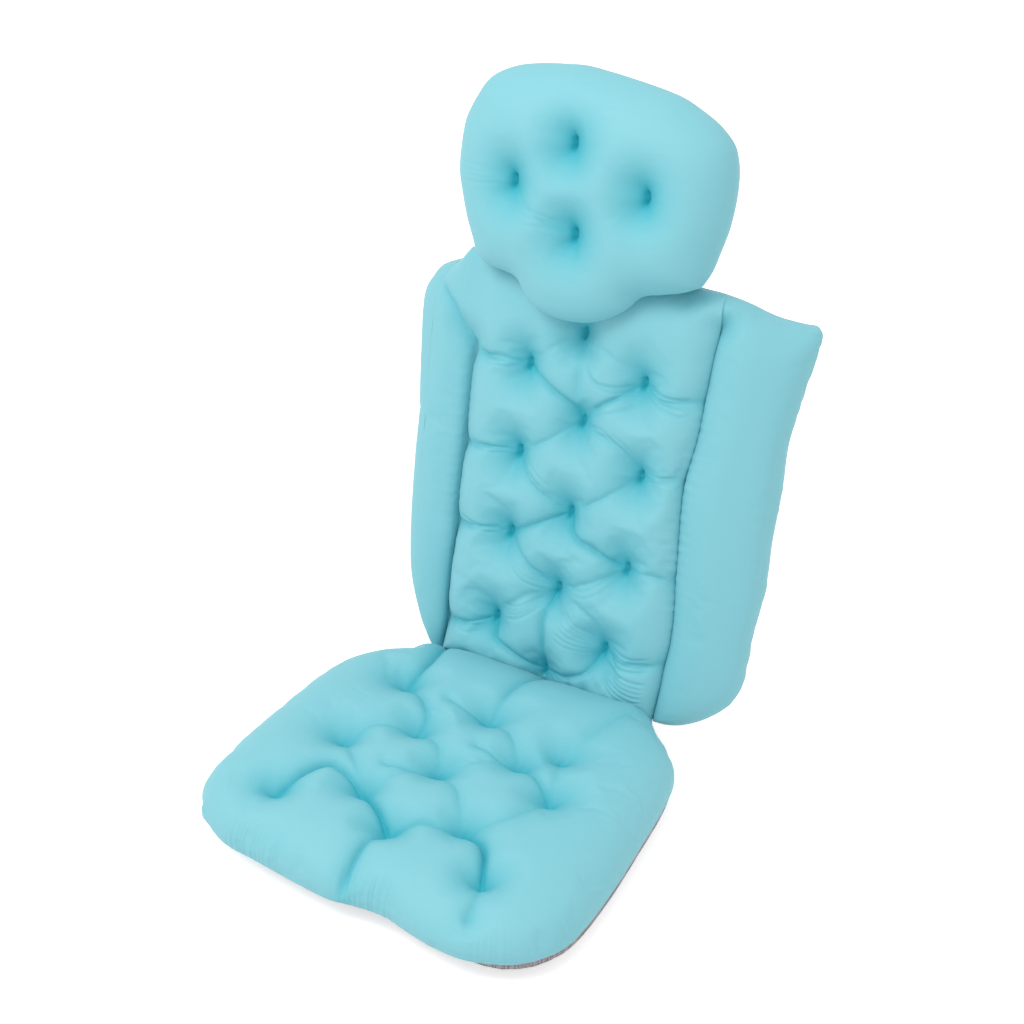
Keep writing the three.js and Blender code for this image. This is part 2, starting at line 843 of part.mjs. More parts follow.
const backBody = new THREE.Group();
backBody.rotation.x = toRadians(90 - reclineAngle);
backBody.add(...padPieces('back', backPad), ...cupPieces('back', backCups, 1), headSeam);
backBody.add(wingSeam('left_wing_seam', -1), wingSeam('right_wing_seam', 1));
backBody.add(wingBody('left_wing', -1), wingBody('right_wing', 1), headBody);

const pillow = new THREE.Group();
pillow.add(...padPieces('seat', seatPad), ...cupPieces('seat', seatCups, -1));
pillow.add(acrossSeam('back_fold_seam', foldHalfWidth - seamEndGap), backBody);

// The origin lies under the middle of the pillow's box, on the plane its seat cups stand on
const box = new THREE.Box3().setFromObject(pillow, true);
const middle = box.getCenter(new THREE.Vector3());
pillow.position.set(0, -middle.y, -box.min.z);

export default pillow;
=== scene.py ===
# %% [markdown]
# # A bath pillow with a seat, a winged back and a head pillow
# The real thing is sewn from stretch cloth over fibre stuffing, with a sheet of air mesh behind each
# pad. Threads pull the front down to the mesh at many places, and the cloth folds between them.
# The lesson builds each pad from one flat grid, blows it up with Blender's cloth, and then sews the
# folds into it. The packed model's joints give the axes of the folds, so the pads stay joined.

# %% Load the packed model
import json
import math

import bmesh
import bpy
import numpy as np
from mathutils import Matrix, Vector


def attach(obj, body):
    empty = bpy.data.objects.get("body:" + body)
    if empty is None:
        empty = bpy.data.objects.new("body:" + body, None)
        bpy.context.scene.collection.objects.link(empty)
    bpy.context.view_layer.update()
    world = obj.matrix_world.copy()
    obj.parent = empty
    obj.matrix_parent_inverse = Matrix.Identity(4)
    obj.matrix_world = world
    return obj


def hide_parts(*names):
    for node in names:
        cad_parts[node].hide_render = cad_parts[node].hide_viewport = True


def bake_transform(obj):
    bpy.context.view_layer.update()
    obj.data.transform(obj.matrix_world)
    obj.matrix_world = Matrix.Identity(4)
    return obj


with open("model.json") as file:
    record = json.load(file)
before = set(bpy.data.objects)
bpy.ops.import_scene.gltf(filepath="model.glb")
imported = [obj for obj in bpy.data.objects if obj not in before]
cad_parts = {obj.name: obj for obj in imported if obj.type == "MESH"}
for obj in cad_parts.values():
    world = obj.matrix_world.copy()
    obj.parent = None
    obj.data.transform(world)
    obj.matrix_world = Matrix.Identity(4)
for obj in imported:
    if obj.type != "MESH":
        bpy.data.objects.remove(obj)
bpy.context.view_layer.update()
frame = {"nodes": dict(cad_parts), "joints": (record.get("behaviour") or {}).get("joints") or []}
MM = 0.001

# %% [markdown]
# ## Where each pad lies
# A pad is easiest to draw lying flat: x across it, y along it from its fold, z out of its seam plane,
# all in millimetres. A Place carries such points to where the pad is. Its origin is the fold's own
# axis, read from the packed joints, so that a pad stays joined when the fold moves.

# %% Places of the five pads


class Place:
    """A pad's own origin and its directions across, along and out, for points in millimetres."""

    def __init__(self, origin, across, along, out):
        self.origin = np.array(origin, float)
        self.axes = np.array([across, along, out], float)

    def to_world(self, points):
        return self.origin + np.asarray(points, float) @ self.axes * MM


JOINTS = {joint["name"]: joint for joint in frame["joints"]}
WING_BACK_ANGLE = math.radians(28)
HEAD_FORWARD_ANGLE = math.radians(3)
SEAM_HALF_WIDTH = 151

across = np.array([1.0, 0, 0])
up = np.array([0, 0, 1.0])
level = np.array([0, 1.0, 0])
back_along = np.array(JOINTS["right_wing_fold"]["axis"], float)
back_out = np.cross(across, back_along)
back_origin = np.array(JOINTS["back_fold"]["pos_m"])
head_along = math.cos(HEAD_FORWARD_ANGLE) * back_along + math.sin(HEAD_FORWARD_ANGLE) * back_out


def wing_place(side):
    """The wing on one side, 1 right and -1 left, turned back about its seam."""
    outward = side * math.cos(WING_BACK_ANGLE) * across - math.sin(WING_BACK_ANGLE) * back_out
    front = math.cos(WING_BACK_ANGLE) * back_out + side * math.sin(WING_BACK_ANGLE) * across
    return Place(back_origin + side * SEAM_HALF_WIDTH * MM * across, outward, back_along, front)


PLACES = {
    "seat": Place(back_origin, across, level, up),
    "back": Place(back_origin, across, back_along, back_out),
    "left_wing": wing_place(-1),
    "right_wing": wing_place(1),
    "head": Place(JOINTS["head_fold"]["pos_m"], across, head_along, np.cross(across, head_along)),
}
for name, place in PLACES.items():
    print(name, "starts at", np.round(place.origin, 3))

# %% [markdown]
# ## The outline of a pad
# Each pad has four sides that run between its corners. A side is a few measured points, and a
# smooth curve goes through them. Four curves carry a square grid to the pad's own shape: every
# grid point takes a share of the two curves across it and of the two along it.

# %% Smooth sides, and the flat shape between them


def smooth_curve(points, steps=12):
    """A smooth line through the points, as many short steps."""
    points = np.asarray(points, float)
    ends = np.vstack([2 * points[0] - points[1], points, 2 * points[-1] - points[-2]])
    share = np.linspace(0, 1, steps, endpoint=False)[:, None]
    spans = []
    for before, start, end, after in zip(ends, ends[1:], ends[2:], ends[3:]):
        pull_out, pull_in = (end - before) / 2, (after - start) / 2
        spans.append(
            (2 * share**3 - 3 * share**2 + 1) * start
            + (share**3 - 2 * share**2 + share) * pull_out
            + (3 * share**2 - 2 * share**3) * end
            + (share**3 - share**2) * pull_in
        )
    return np.vstack(spans + [points[-1:]])


def along_curve(curve, shares):
    """The points at the given shares of a curve's length."""
    reach = np.concatenate([[0], np.cumsum(np.linalg.norm(np.diff(curve, axis=0), axis=1))])
    return np.stack([np.interp(shares * reach[-1], reach, curve[:, axis]) for axis in (0, 1)], 1)


def flat_shape(sides, u, v):
    """Carries the square's shares u, v to the shape between four sides."""
    low, high = along_curve(sides["low"], u), along_curve(sides["high"], u)
    left, right = along_curve(sides["left"], v), along_curve(sides["right"], v)
    u, v = u[:, None], v[:, None]
    corners = (
        (1 - u) * (1 - v) * sides["low"][0] + u * (1 - v) * sides["low"][-1]
        + (1 - u) * v * sides["high"][0] + u * v * sides["high"][-1]
    )
    return (1 - v) * low + v * high + (1 - u) * left + u * right - corners


# %% [markdown]
# ## How far a point is from the rim
# The height of a stuffed pad depends on how far in from its rim a point lies. The plain distance
# has a ridge where two sides are equally near, and a ridge shows on soft cloth. The rim is
# therefore treated as many small sources whose pulls add up: close to the rim it gives the plain
# distance, and further in it is smooth. The same pulls tell how much each side has to say.

# %% Soft distance from the rim

NEAR_RIM = 12


def smooth_step(value):
    value = np.clip(value, 0, 1)
    return value * value * (3 - 2 * value)


def line_distance(points, line):
    """Distance from each point to a broken line, and how far along it that is, as a share."""
    start, step = line[:-1], np.diff(line, axis=0)
    length = np.linalg.norm(step, axis=1)
    begin = np.concatenate([[0], np.cumsum(length)])
    best = np.full(len(points), np.inf)
    place = np.zeros(len(points))
    for origin, vector, size, before in zip(start, step, length, begin):
        offset = points - origin
        share = np.clip(offset @ vector / max(size * size, 1e-9), 0, 1)
        gap = np.linalg.norm(offset - share[:, None] * vector, axis=1)
        nearer = gap < best
        best[nearer] = gap[nearer]
        place[nearer] = (before + share[nearer] * size) / begin[-1]
    return best, place


def rim_distance(points, sides):
    """Soft distance in from the rim, and the share that each side has in it."""
    pulls = {}
    for name, side in sides.items():
        middles = (side[1:] + side[:-1]) / 2
        pieces = np.linalg.norm(np.diff(side, axis=0), axis=1)
        total = np.zeros(len(points))
        for middle, size in zip(middles, pieces):
            total += size / np.maximum(((points - middle) ** 2).sum(1), 1) ** 2
        pulls[name] = total
    pull = sum(pulls.values())
    soft = (math.pi / (2 * pull)) ** (1 / 3)
    near = soft < NEAR_RIM
    exact = soft.copy()
    exact[near] = np.min([line_distance(points[near], side)[0] for side in sides.values()], axis=0)
    share = smooth_step(soft / NEAR_RIM)
    return exact * (1 - share) + soft * share, {name: part / pull for name, part in pulls.items()}


# %% [markdown]
# ## One pad
# A pad starts as bmesh's own grid. Its outer edge is extruded a few times for the half of the roll
# that turns under, down to the seam. Grid lines are closer together where the cloth turns over the
# edge, because a turning surface needs more of them.

# %% The grid of a pad

SPACING = 4.6
TURN_DENSITY = 1.45
FEWEST_LINES = 3
UNDER_ROWS = 4


def line_places(length, first_edge, last_edge):
    """Shares of a length for the grid lines: equal steps round each rolled edge and between."""
    def turning(edge):
        count = max(FEWEST_LINES, round(TURN_DENSITY * edge / SPACING))
        return edge * (1 - np.cos(np.linspace(0, math.pi / 2, count + 1)))

    first, last = turning(first_edge), length - turning(last_edge)[::-1]
    between = max(2, round((last[0] - first[-1]) / SPACING))
    middle = np.linspace(first[-1], last[0], between + 1)[1:-1]
    return np.concatenate([first, middle, last]) / length


def pad_grid(columns, rows):
    """A bmesh grid whose x and y are the shares of its lines, and z counts the rows under."""
    mesh = bmesh.new()
    bmesh.ops.create_grid(
        mesh, x_segments=len(columns) - 1, y_segments=len(rows) - 1, size=0.5
    )
    for vertex in mesh.verts:
        column = round((vertex.co.x + 0.5) * (len(columns) - 1))
        row = round((vertex.co.y + 0.5) * (len(rows) - 1))
        vertex.co = (columns[column], rows[row], 0)
    for under in range(1, UNDER_ROWS + 1):
        rim = [edge for edge in mesh.edges if edge.is_boundary]
        grown = bmesh.ops.extrude_edge_only(mesh, edges=rim)["geom"]
        for vertex in grown:
            if isinstance(vertex, bmesh.types.BMVert):
                vertex.co.z = -under
    return mesh


def places_of(mesh_data):
    found = np.empty(len(mesh_data.vertices) * 3)
    mesh_data.vertices.foreach_get("co", found)
    return found.reshape(-1, 3)


def move_to(mesh_data, points):
    mesh_data.vertices.foreach_set("co", np.asarray(points, float).ravel())
    mesh_data.update()


# %% [markdown]
# ## Measures of the five pads
# Every outline, tuft and fold below was measured on the photo, through a camera that was fitted to
# the tufts, in millimetres in the pad's own place. An edge has the width of its roll and how full
# it is. A tuft is a place across and along. A fold is a line of such places, in which a whole
# number stands for that tuft, then its depth at the ends and in the middle, and how sharp it is.
# A fan of wrinkles has its first and last line, how many lines, and their depth. Gathers have
# their side, the shares of it where they start and end, the length of a wave and its depth.

# %% Seat

SEAT = {
    "name": "seat", "crown": 56, "belly": 15, "bulge": 4, "fold_side": "high",
    "edges": {"low": (66, 0.5), "right": (68, 0.52), "high": (116, 1.06), "left": (68, 0.52)},
    "low": [(-219, -427), (-174, -449), (-128, -456), (-66, -464), (-20, -468), (12, -463),
            (48, -461), (84, -469), (120, -475), (160, -474), (202, -458), (226, -438)],
    "right": [(226, -438), (243, -409), (250, -370), (250, -300), (245, -226), (238, -146),
              (226, -100), (201, -68), (175, -42), (150, 0)],
    "high": [(-150, 0), (-75, 1), (0, 1), (75, 1), (150, 0)],
    "left": [(-219, -427), (-241, -392), (-248, -340), (-247, -270), (-243, -200), (-233, -134),
             (-217, -100), (-195, -76), (-171, -54), (-150, 0)],
    "tuft_height": 29, "slit": {"reach": (4, 1.5), "steep": 2.2, "gentle": 5, "depth": 2.5},
    "basin": 54, "joined": [], "thin_corners": [(-150, 0, 62), (150, 0, 44)],
    "tufts": [(-121, -136), (3, -147), (112, -170), (-61, -207), (76, -203), (-130, -263),
              (1, -259), (136, -242), (-60, -331), (76, -333), (-147, -380), (2, -375),
              (136, -397)],
    "folds": [
        ([(-130, -18), (-117, -80), 0], 8, 13, 5),
        ([(14, -18), (2, -90), 1], 6, 9, 2),
        ([(150, -40), (128, -115), 2], 6, 9, 0),
        ([0, (-86, -158), (-64, -182), 3], 15, 10, 3),
        ([1, (42, -167), 4], 14, 10, 1),
        ([1, (-30, -151), (-54, -147)], 8, 3, 3),
        ([2, (127, -210), 7], 14, 10, 0),
        ([3, (-100, -224), (-118, -242), 5], 14, 10, 1),
        ([3, (-22, -226), 6], 14, 10, 1),
        ([4, (44, -222), 6], 13, 8, 0),
        ([4, (53, -211), (20, -208)], 8, 3, 3),
        ([4, (112, -224), 7], 14, 10, 4),
        ([5, (-92, -297), 8], 13, 9, 1),
        ([8, (-91, -319), (-120, -322), 10], 14, 13, 6),
        ([6, (-22, -277), (-57, -288)], 10, 5, 4),
        ([6, (-33, -290), 8], 13, 9, 0),
        ([6, (41, -288), 9], 13, 9, 1),
        ([7, (116, -297), 9], 13, 9, 1),
        ([8, (-22, -356), 11], 16, 15, 8),
        ([11, (29, -352), (55, -344), 9], 15, 12, 4),
        ([9, (112, -352), 12], 16, 15, 8),
        ([12, (144, -422), (150, -450)], 14, 7, 2),
        ([11, (-5, -412), (-2, -464)], 12, 11, 4),
    ],
    "fans": [
        ([(-86, -176), (-60, -170), (-28, -178)], [(-84, -186), (-58, -182), (-30, -190)], 2, 0.8),
        ([(-2, -246), (22, -234), (54, -236)], [(0, -240), (24, -226), (56, -226)], 2, 0.8),
        ([(-168, -190), (-150, -196), (-132, -196)], [(-168, -204), (-150, -208), (-134, -206)],
         3, 0.6),
    ],
    "gathers": [("low", 0.10, 0.32, 7, 1.0), ("low", 0.44, 0.64, 7, 1.1),
                ("low", 0.82, 0.97, 7, 0.5), ("right", 0.02, 0.14, 7, 0.6)],
}
print("seat:", len(SEAT["tufts"]), "tufts,", len(SEAT["folds"]), "folds")

# %% Back

BACK = {
    "name": "back", "crown": 42, "belly": 9, "bulge": 0, "fold_side": "low",
    "edges": {"low": (46, 0.62), "right": (42, 0.5), "high": (66, 0.62), "left": (60, 0.82)},
    "low_rim": "left",
    "low": [(-150, 1), (-75, 0), (0, 0), (75, 0), (150, 1)],
    "right": [(150.6, 4), (150.6, 120), (150.6, 270), (150.6, 420), (150.6, 541)],
    "high": [(-150.6, 541), (-75, 542), (0, 542), (75, 542), (150.6, 541)],
    "left": [(-150.6, 4), (-150.6, 120), (-150.6, 270), (-150.6, 420), (-150.6, 541)],
    "tuft_height": 15, "slit": {"reach": (0.8, 9), "steep": 1.7, "gentle": 4.2, "depth": 8},
    "basin": 56, "joined": ["left", "right"],
    "tufts": [(-73, 407), (-71, 296), (-69, 191), (-73, 76), (-6, 460), (7, 354), (8, 238),
              (6, 137), (2, 25), (79, 418), (92, 306), (92, 188), (79, 78)],
    "folds": [
        ([0, (-38, 392), (-4, 374), 5], 12, 9, 4),
        ([0, (-98, 411), (-148, 404)], 9, 5, 3),
        ([1, (-98, 298), (-148, 287)], 9, 5, 3),
        ([2, (-98, 193), (-148, 181)], 9, 5, 3),
        ([3, (-100, 64), (-148, 50)], 9, 6, 4),
        ([1, (-32, 321), 5], 11, 7, 1),
        ([1, (-49, 272), 6], 11, 7, 2),
        ([2, (-29, 216), 6], 12, 8, 4),
        ([6, (22, 214), (60, 203), 11], 13, 10, 5),
        ([2, (-42, 172), 7], 11, 7, 2),
        ([5, (34, 381), 9], 11, 7, 2),
        ([9, (110, 407), (149, 413)], 9, 6, 2),
        ([10, (120, 312), (149, 314)], 8, 4, 1),
        ([10, (60, 276), 6], 11, 7, 1),
        ([10, (67, 340), 5], 11, 6, 1),
        ([11, (125, 193), (149, 190)], 8, 4, 2),
        ([11, (60, 166), 7], 11, 7, 1),
        ([7, (-1, 100), (3, 60), 8], 11, 9, 4),
        ([7, (46, 130), (72, 110), 12], 10, 5, 0),
        ([7, (-30, 120), 3], 10, 5, 0),
        ([3, (-66, 52), (-38, 42), 8], 13, 11, 5),
        ([8, (40, 33), (66, 48), 12], 13, 10, 4),
        ([12, (110, 74), (148, 79)], 9, 5, 2),
        ([8, (4, 14), (-2, 3)], 11, 8, 3),
        ([4, (2, 410), 5], 9, 6, 1),
        ([0, (-34, 440), 4], 9, 5, 0),
        ([9, (40, 446), 4], 9, 5, 0),
        ([4, (-28, 500), (-40, 530)], 9, 5, 1),
    ],
    "fans": [
        ([(7, 433), (24, 413), (51, 410), (76, 418)], [(17, 413), (39, 403), (65, 406), (76, 411)],
         3, 2.1),
        ([(22, 373), (41, 389), (66, 403), (76, 408)], [(24, 369), (50, 379), (71, 389), (78, 400)],
         2, 2.7),
        ([(82, 421), (110, 413), (136, 414), (148, 420)], [(84, 408), (112, 399), (136, 394),
          (148, 399)], 3, 2.9),
        ([(-142, 408), (-113, 406), (-80, 410)], [(-140, 401), (-109, 399), (-80, 404)], 2, 1.9),
        ([(-142, 298), (-105, 296), (-78, 299)], [(-140, 291), (-103, 290), (-78, 293)], 2, 1.8),
        ([(-142, 195), (-99, 194), (-76, 197)], [(-140, 187), (-99, 187), (-76, 190)], 2, 1.9),
        ([(-142, 64), (-102, 59), (-80, 66)], [(-140, 52), (-104, 50), (-80, 58)], 3, 2.6),
        ([(-64, 292), (-46, 278), (-22, 263)], [(-62, 299), (-32, 280), (-9, 266)], 2, 1.4),
        ([(37, 352), (56, 341), (78, 322)], [(54, 356), (75, 345), (88, 330)], 3, 1.3),
        ([(100, 315), (123, 316), (146, 321)], [(100, 306), (124, 308), (146, 314)], 2, 1.8),
        ([(20, 352), (42, 356), (68, 340)], [(16, 346), (40, 346), (66, 330)], 2, 1.3),
        ([(-60, 180), (-36, 164), (-4, 152)], [(-58, 160), (-32, 142), (-2, 134)], 4, 1.3),
        ([(16, 150), (50, 152), (82, 178)], [(16, 142), (52, 144), (84, 166)], 2, 1.3),
        ([(-62, 101), (-35, 107), (-4, 128)], [(-58, 82), (-30, 93), (-2, 118)], 4, 1.4),
        ([(20, 122), (43, 107), (72, 92)], [(15, 82), (37, 74), (70, 72)], 6, 0.9),
        ([(88, 88), (117, 83), (147, 88)], [(88, 74), (112, 66), (147, 70)], 4, 2.4),
        ([(84, 68), (107, 58), (138, 54), (148, 58)], [(80, 54), (100, 34), (128, 22), (146, 24)],
         6, 2.1),
        ([(8, 40), (24, 30), (50, 30)], [(4, 26), (22, 18), (52, 20)], 3, 1.6),
    ],
}
print("back:", len(BACK["tufts"]), "tufts,", len(BACK["folds"]), "folds")

# %% Wings

WING = {
    "crown": 40, "belly": 9, "bulge": 0, "fold_side": None, "joined": ["left"],
    "edges": {"low": (44, 0.5), "right": (46, 0.5), "high": (52, 0.56), "left": (40, 0.5)},
    "tuft_height": 0, "slit": BACK["slit"], "basin": BACK["basin"], "tufts": [],
}
RIGHT_WING = {
    **WING, "name": "right_wing",
    "left": [(0.4, 3), (0.4, 120), (0.4, 270), (0.4, 420), (0.4, 541)],
    "low": [(0.4, 3), (18, 2), (36, 5), (58, 15), (76, 28)],
    "right": [(76, 28), (90, 43), (99, 66), (102, 95), (103, 130), (108, 190), (106, 250),
              (107, 312), (105, 370), (110, 420), (117, 478), (121, 505)],
    "high": [(0.4, 541), (30, 534), (66, 522), (100, 517), (115, 516), (121, 505)],
    "folds": [([(-3, 486), (6, 503), (9, 528)], 0, 6, 1)],
}
LEFT_WING = {
    **WING, "name": "left_wing",
    "left": [(0.4, 3), (0.4, 120), (0.4, 270), (0.4, 420), (0.4, 537)],
    "low": [(0.4, 3), (8, 8), (18, 19), (31, 36), (43, 54)],
    "right": [(43, 54), (56, 77), (66, 107), (76, 170), (82, 240), (87, 310), (95, 370),
              (103, 430), (103, 458), (94, 475)],
    "high": [(0.4, 537), (22, 525), (44, 512), (68, 499), (85, 489), (94, 475)],
    "folds": [([(-4, 396), (8, 424), (22, 452), (44, 476)], 2, 6, 4)],
}
print("wings:", len(RIGHT_WING["right"]), "and", len(LEFT_WING["right"]), "points of outer edge")

# %% Head

HEAD = {
    "name": "head", "crown": 101, "belly": 36, "bulge": 24, "fold_side": "low",
    "edges": {"low": (78, 0.5), "right": (96, 0.5), "high": (92, 0.5), "left": (96, 0.5)},
    "low": [(-146, -5), (-126, -17), (-103, -20), (-84, -24), (-71, -38), (-54, -51), (-30, -58),
            (3, -57), (30, -49), (55, -33), (72, -14), (97, -6), (120, 1), (138, 10)],
    "right": [(138, 10), (146, 27), (152, 50), (159, 80), (162, 117), (160, 146), (154, 166),
              (150, 173)],
    "high": [(-169, 172), (-153, 198), (-129, 213), (-99, 222), (-50, 229), (-24, 229), (24, 224),
             (76, 216), (105, 205), (128, 193), (144, 180), (150, 173)],
    "left": [(-146, -5), (-163, 29), (-177, 72), (-181, 92), (-181, 120), (-178, 149),
             (-169, 172)],
    "tuft_height": 68, "slit": {"reach": (0, 9), "steep": 1.6, "gentle": 3.6, "depth": 9},
    "basin": 66, "joined": [],
    "tufts": [(-23, 149), (-94, 93), (73, 105), (-10, 46)],
    "folds": [([3, (-50, 60), 1], 8, 3, 1),
              ([1, (-60, 124), 0], 8, 3, 0),
              ([0, (30, 132), 2], 8, 3, 0),
              ([2, (34, 74), 3], 8, 3, 0)],
    "fans": [
        ([(-82, 69), (-51, 67), (-20, 58)], [(-70, 50), (-43, 52), (-18, 50)], 3, 1.0),
        ([(-172, 103), (-132, 104), (-104, 100)], [(-170, 82), (-127, 86), (-103, 90)], 4, 0.6),
        ([(-30, 24), (0, 22), (26, 30)], [(-26, 10), (2, 8), (30, 16)], 2, 0.5),
    ],
}
print("head:", len(HEAD["tufts"]), "tufts")
PADS = [SEAT, BACK, LEFT_WING, RIGHT_WING, HEAD]

# %% [markdown]
# ## From flat to stuffed
# The height rises from the rim over a rolled edge, and each tuft pulls it down into a wide soft
# basin. Folds are valleys between tufts. Stuffed cloth is round beside a fold, so a valley has the
# shape of two quarter circles that meet, and valleys that meet are joined as a soft maximum.
# Along the two wing seams the pads press against each other. There both lean over to the plane
# halfway between them, and near the top the seam isn't sewn, so that the cloth runs across.

# %% Heights of a pad

PANEL_TOP = 541
VALLEY = 40
VALLEY_ROUNDNESS = 0.62
BASIN_ROUNDNESS = 0.9
CURVE_STEPS = 5
SLIT_STEPS = 3
SLIT_BEND = 0.22
FOLD_THINNING = 90
FOLD_BELLY_SHARE = 0.15
LOW_RIM = 0.6
LOW_RIM_REACH = 25
HANGING = {"belly": 22, "from": 24, "reach": 80}
MEETING_SLOPE = math.tan(WING_BACK_ANGLE / 2)
MEETING_PRESS = 1.0
MEETING_REACH = 16
MEETING_RISE = 8
JOINS = {"left": (398, 462), "right": (488, 530)}
JOIN_HEIGHT = 31
JOIN_WIDTH = 38
JOIN_ROUNDING = 34
JOIN_FULLNESS = 0.8
SEAM_WAVES = {
    "left": [(0, 0), (44, -4), (106, -1), (163, -2), (205, 1), (311, 2), (388, 5), (428, 6),
             (541, 3)],
    "right": [(0, 0), (68, 4), (129, 6), (214, -1), (303, -7), (375, 0), (460, 3), (491, 5),
              (541, 5)],
}


def side_curves(pad):
    return {side: smooth_curve(pad[side]) for side in ("low", "right", "high", "left")}


def fold_curve(pad, line):
    """The smooth line of a fold, with its tufts' places put in for their numbers."""
    places = [pad["tufts"][place] if isinstance(place, int) else place for place in line]
    return smooth_curve(places, CURVE_STEPS)


def slit_line(pad, tuft):
    """The short bent line that a tuft's thread pulls the cloth into."""
    reach = np.array(pad["slit"]["reach"], float)
    bend = SLIT_BEND * np.array([reach[1], -reach[0]])
    return smooth_curve([tuft - reach, tuft + bend, tuft + reach], SLIT_STEPS)


def seam_of(pad, side):
    """The name of the wing seam that a joined side lies on."""
    return pad["name"].split("_")[0] if "wing" in pad["name"] else side


def join_height(pad, side, along):
    """How high the cloth runs across a wing seam, at each place along it."""
    first, last = JOINS[seam_of(pad, side)]
    near_top = np.clip(1 - (PANEL_TOP - along) / JOIN_ROUNDING, 0, 1)
    rounding = np.sqrt(np.clip(1 - near_top**2, 0, 1))
    return JOIN_HEIGHT * smooth_step((along - first) / (last - first)) * rounding


def swollen_height(pad, points, sides):
    """The height of the stuffed pad before anything pulls it down, and the belly at the rim."""
    inward, shares = rim_distance(points, sides)
    width = sum(shares[side] * pad["edges"][side][0] for side in sides)
    power = sum(shares[side] * pad["edges"][side][1] for side in sides)
    belly = pad["belly"] * np.ones(len(points))
    if pad["name"] == "head":
        belly += HANGING["belly"] * smooth_step((HANGING["from"] - points[:, 1]) / HANGING["reach"])
    elif pad["fold_side"]:
        fold_gap = line_distance(points, sides[pad["fold_side"]])[0]
        fullness = smooth_step(fold_gap / FOLD_THINNING)
        belly *= fullness * (1 - FOLD_BELLY_SHARE) + FOLD_BELLY_SHARE
    if "low_rim" in pad:
        gap = line_distance(points, sides[pad["low_rim"]])[0]
        belly *= 1 - LOW_RIM * np.exp(-((gap / LOW_RIM_REACH) ** 2))
    for side in pad["joined"]:
        gap = line_distance(points, sides[side])[0]
        across_seam = join_height(pad, side, points[:, 1]) * np.exp(-((gap / JOIN_WIDTH) ** 2))
        belly = (belly**4 + across_seam**4) ** 0.25
        power += JOIN_FULLNESS * across_seam / JOIN_HEIGHT
    rise = 1 - (1 - np.clip(inward / width, 0, 1)) ** 2
    for x, y, reach in pad.get("thin_corners", []):
        rise *= smooth_step(np.hypot(points[:, 0] - x, points[:, 1] - y) / reach)
    return belly + (pad["crown"] - belly) * rise**power, belly


def round_valley(gap, roundness):
    """1 in the middle of a valley and 0 beyond its edge, round on both sides of a sharp line."""
    inside = np.clip(gap, 0, 1)
    return 1 - (1 - (1 - inside) ** 2) ** roundness


def pulled_height(pad, points, height):
    """Lowers the height at tufts and folds."""
    lowered = np.zeros(len(points))
    for tuft in pad["tufts"]:
        gap = line_distance(points, slit_line(pad, tuft))[0] / pad["basin"]
        above = np.maximum(height - pad["tuft_height"], 0)
        lowered += (above * round_valley(gap, BASIN_ROUNDNESS)) ** 3
    for line, end_depth, middle_depth, _ in pad["folds"]:
        gap, share = line_distance(points, fold_curve(pad, line))
        depth = middle_depth + (end_depth - middle_depth) * (2 * share - 1) ** 2
        lowered += (depth * round_valley(gap / VALLEY, VALLEY_ROUNDNESS)) ** 3
    return height - lowered ** (1 / 3)


def meet_neighbours(pad, points, sides):
    """Leans a joined side over to the plane halfway between two pads, in the seam's own waves."""
    for side in pad["joined"]:
        outward = -1 if side == "left" else 1
        mirror = -1 if "wing" in pad["name"] else 1
        near = np.exp(-line_distance(points[:, :2], sides[side])[0] / MEETING_REACH)
        above = smooth_step(points[:, 2] / MEETING_RISE)
        waves = smooth_curve(SEAM_WAVES[seam_of(pad, side)])
        wave = np.interp(points[:, 1], waves[:, 0], waves[:, 1]) * mirror
        lean = MEETING_SLOPE * points[:, 2] + (MEETING_PRESS + wave) * above
        points[:, 0] += outward * lean * near


# %% The pad's own surface

# Pull and crease depths, in millimetres, at which the painted shade in the folds is full.
PULL_FOR_FULL_SHADE = 34
CREASE_FOR_FULL_SHADE = 12
HEAD_SEAM_LOW = 4.0
HEAD_SEAM_HALF_WIDTH = 164


def keep_attribute(data, name, values):
    """Writes a number or a vector for each point of a mesh, for its material to read."""
    kind = "FLOAT" if values.ndim == 1 else "FLOAT_VECTOR"
    field = "value" if values.ndim == 1 else "vector"
    attribute = data.attributes.new(name, kind, "POINT")
    attribute.data.foreach_set(field, np.asarray(values, np.float32).ravel())


def place_object(name, data):
    """A new object of the scene, with the given data."""
    made = bpy.data.objects.new(name, data)
    bpy.context.scene.collection.objects.link(made)
    return made


def middle_distance(first, second):
    """The distance between the middles of two sides."""
    middle = np.array([0.5])
    return np.linalg.norm(along_curve(first, middle) - along_curve(second, middle))


def inward_step(pad, flat, sides):
    """How far the seam lies inside the widest line, as a step for each rim point."""
    centre = flat.mean(0)
    nearest = np.argmin([line_distance(flat, curve)[0] for curve in sides.values()], axis=0)
    step = np.zeros_like(flat)
    for number, curve in enumerate(sides.values()):
        chosen = nearest == number
        if not chosen.any():
            continue
        tangent = np.gradient(curve, axis=0)
        normal = np.column_stack([-tangent[:, 1], tangent[:, 0]])
        normal /= np.linalg.norm(normal, axis=1)[:, None] + 1e-9
        index = np.argmin(((flat[chosen][:, None] - curve[None]) ** 2).sum(2), axis=1)
        turn = np.sign((normal[index] * (centre - flat[chosen])).sum(1))
        step[chosen] = normal[index] * np.where(turn == 0, 1, turn)[:, None]
    return step * pad["bulge"]


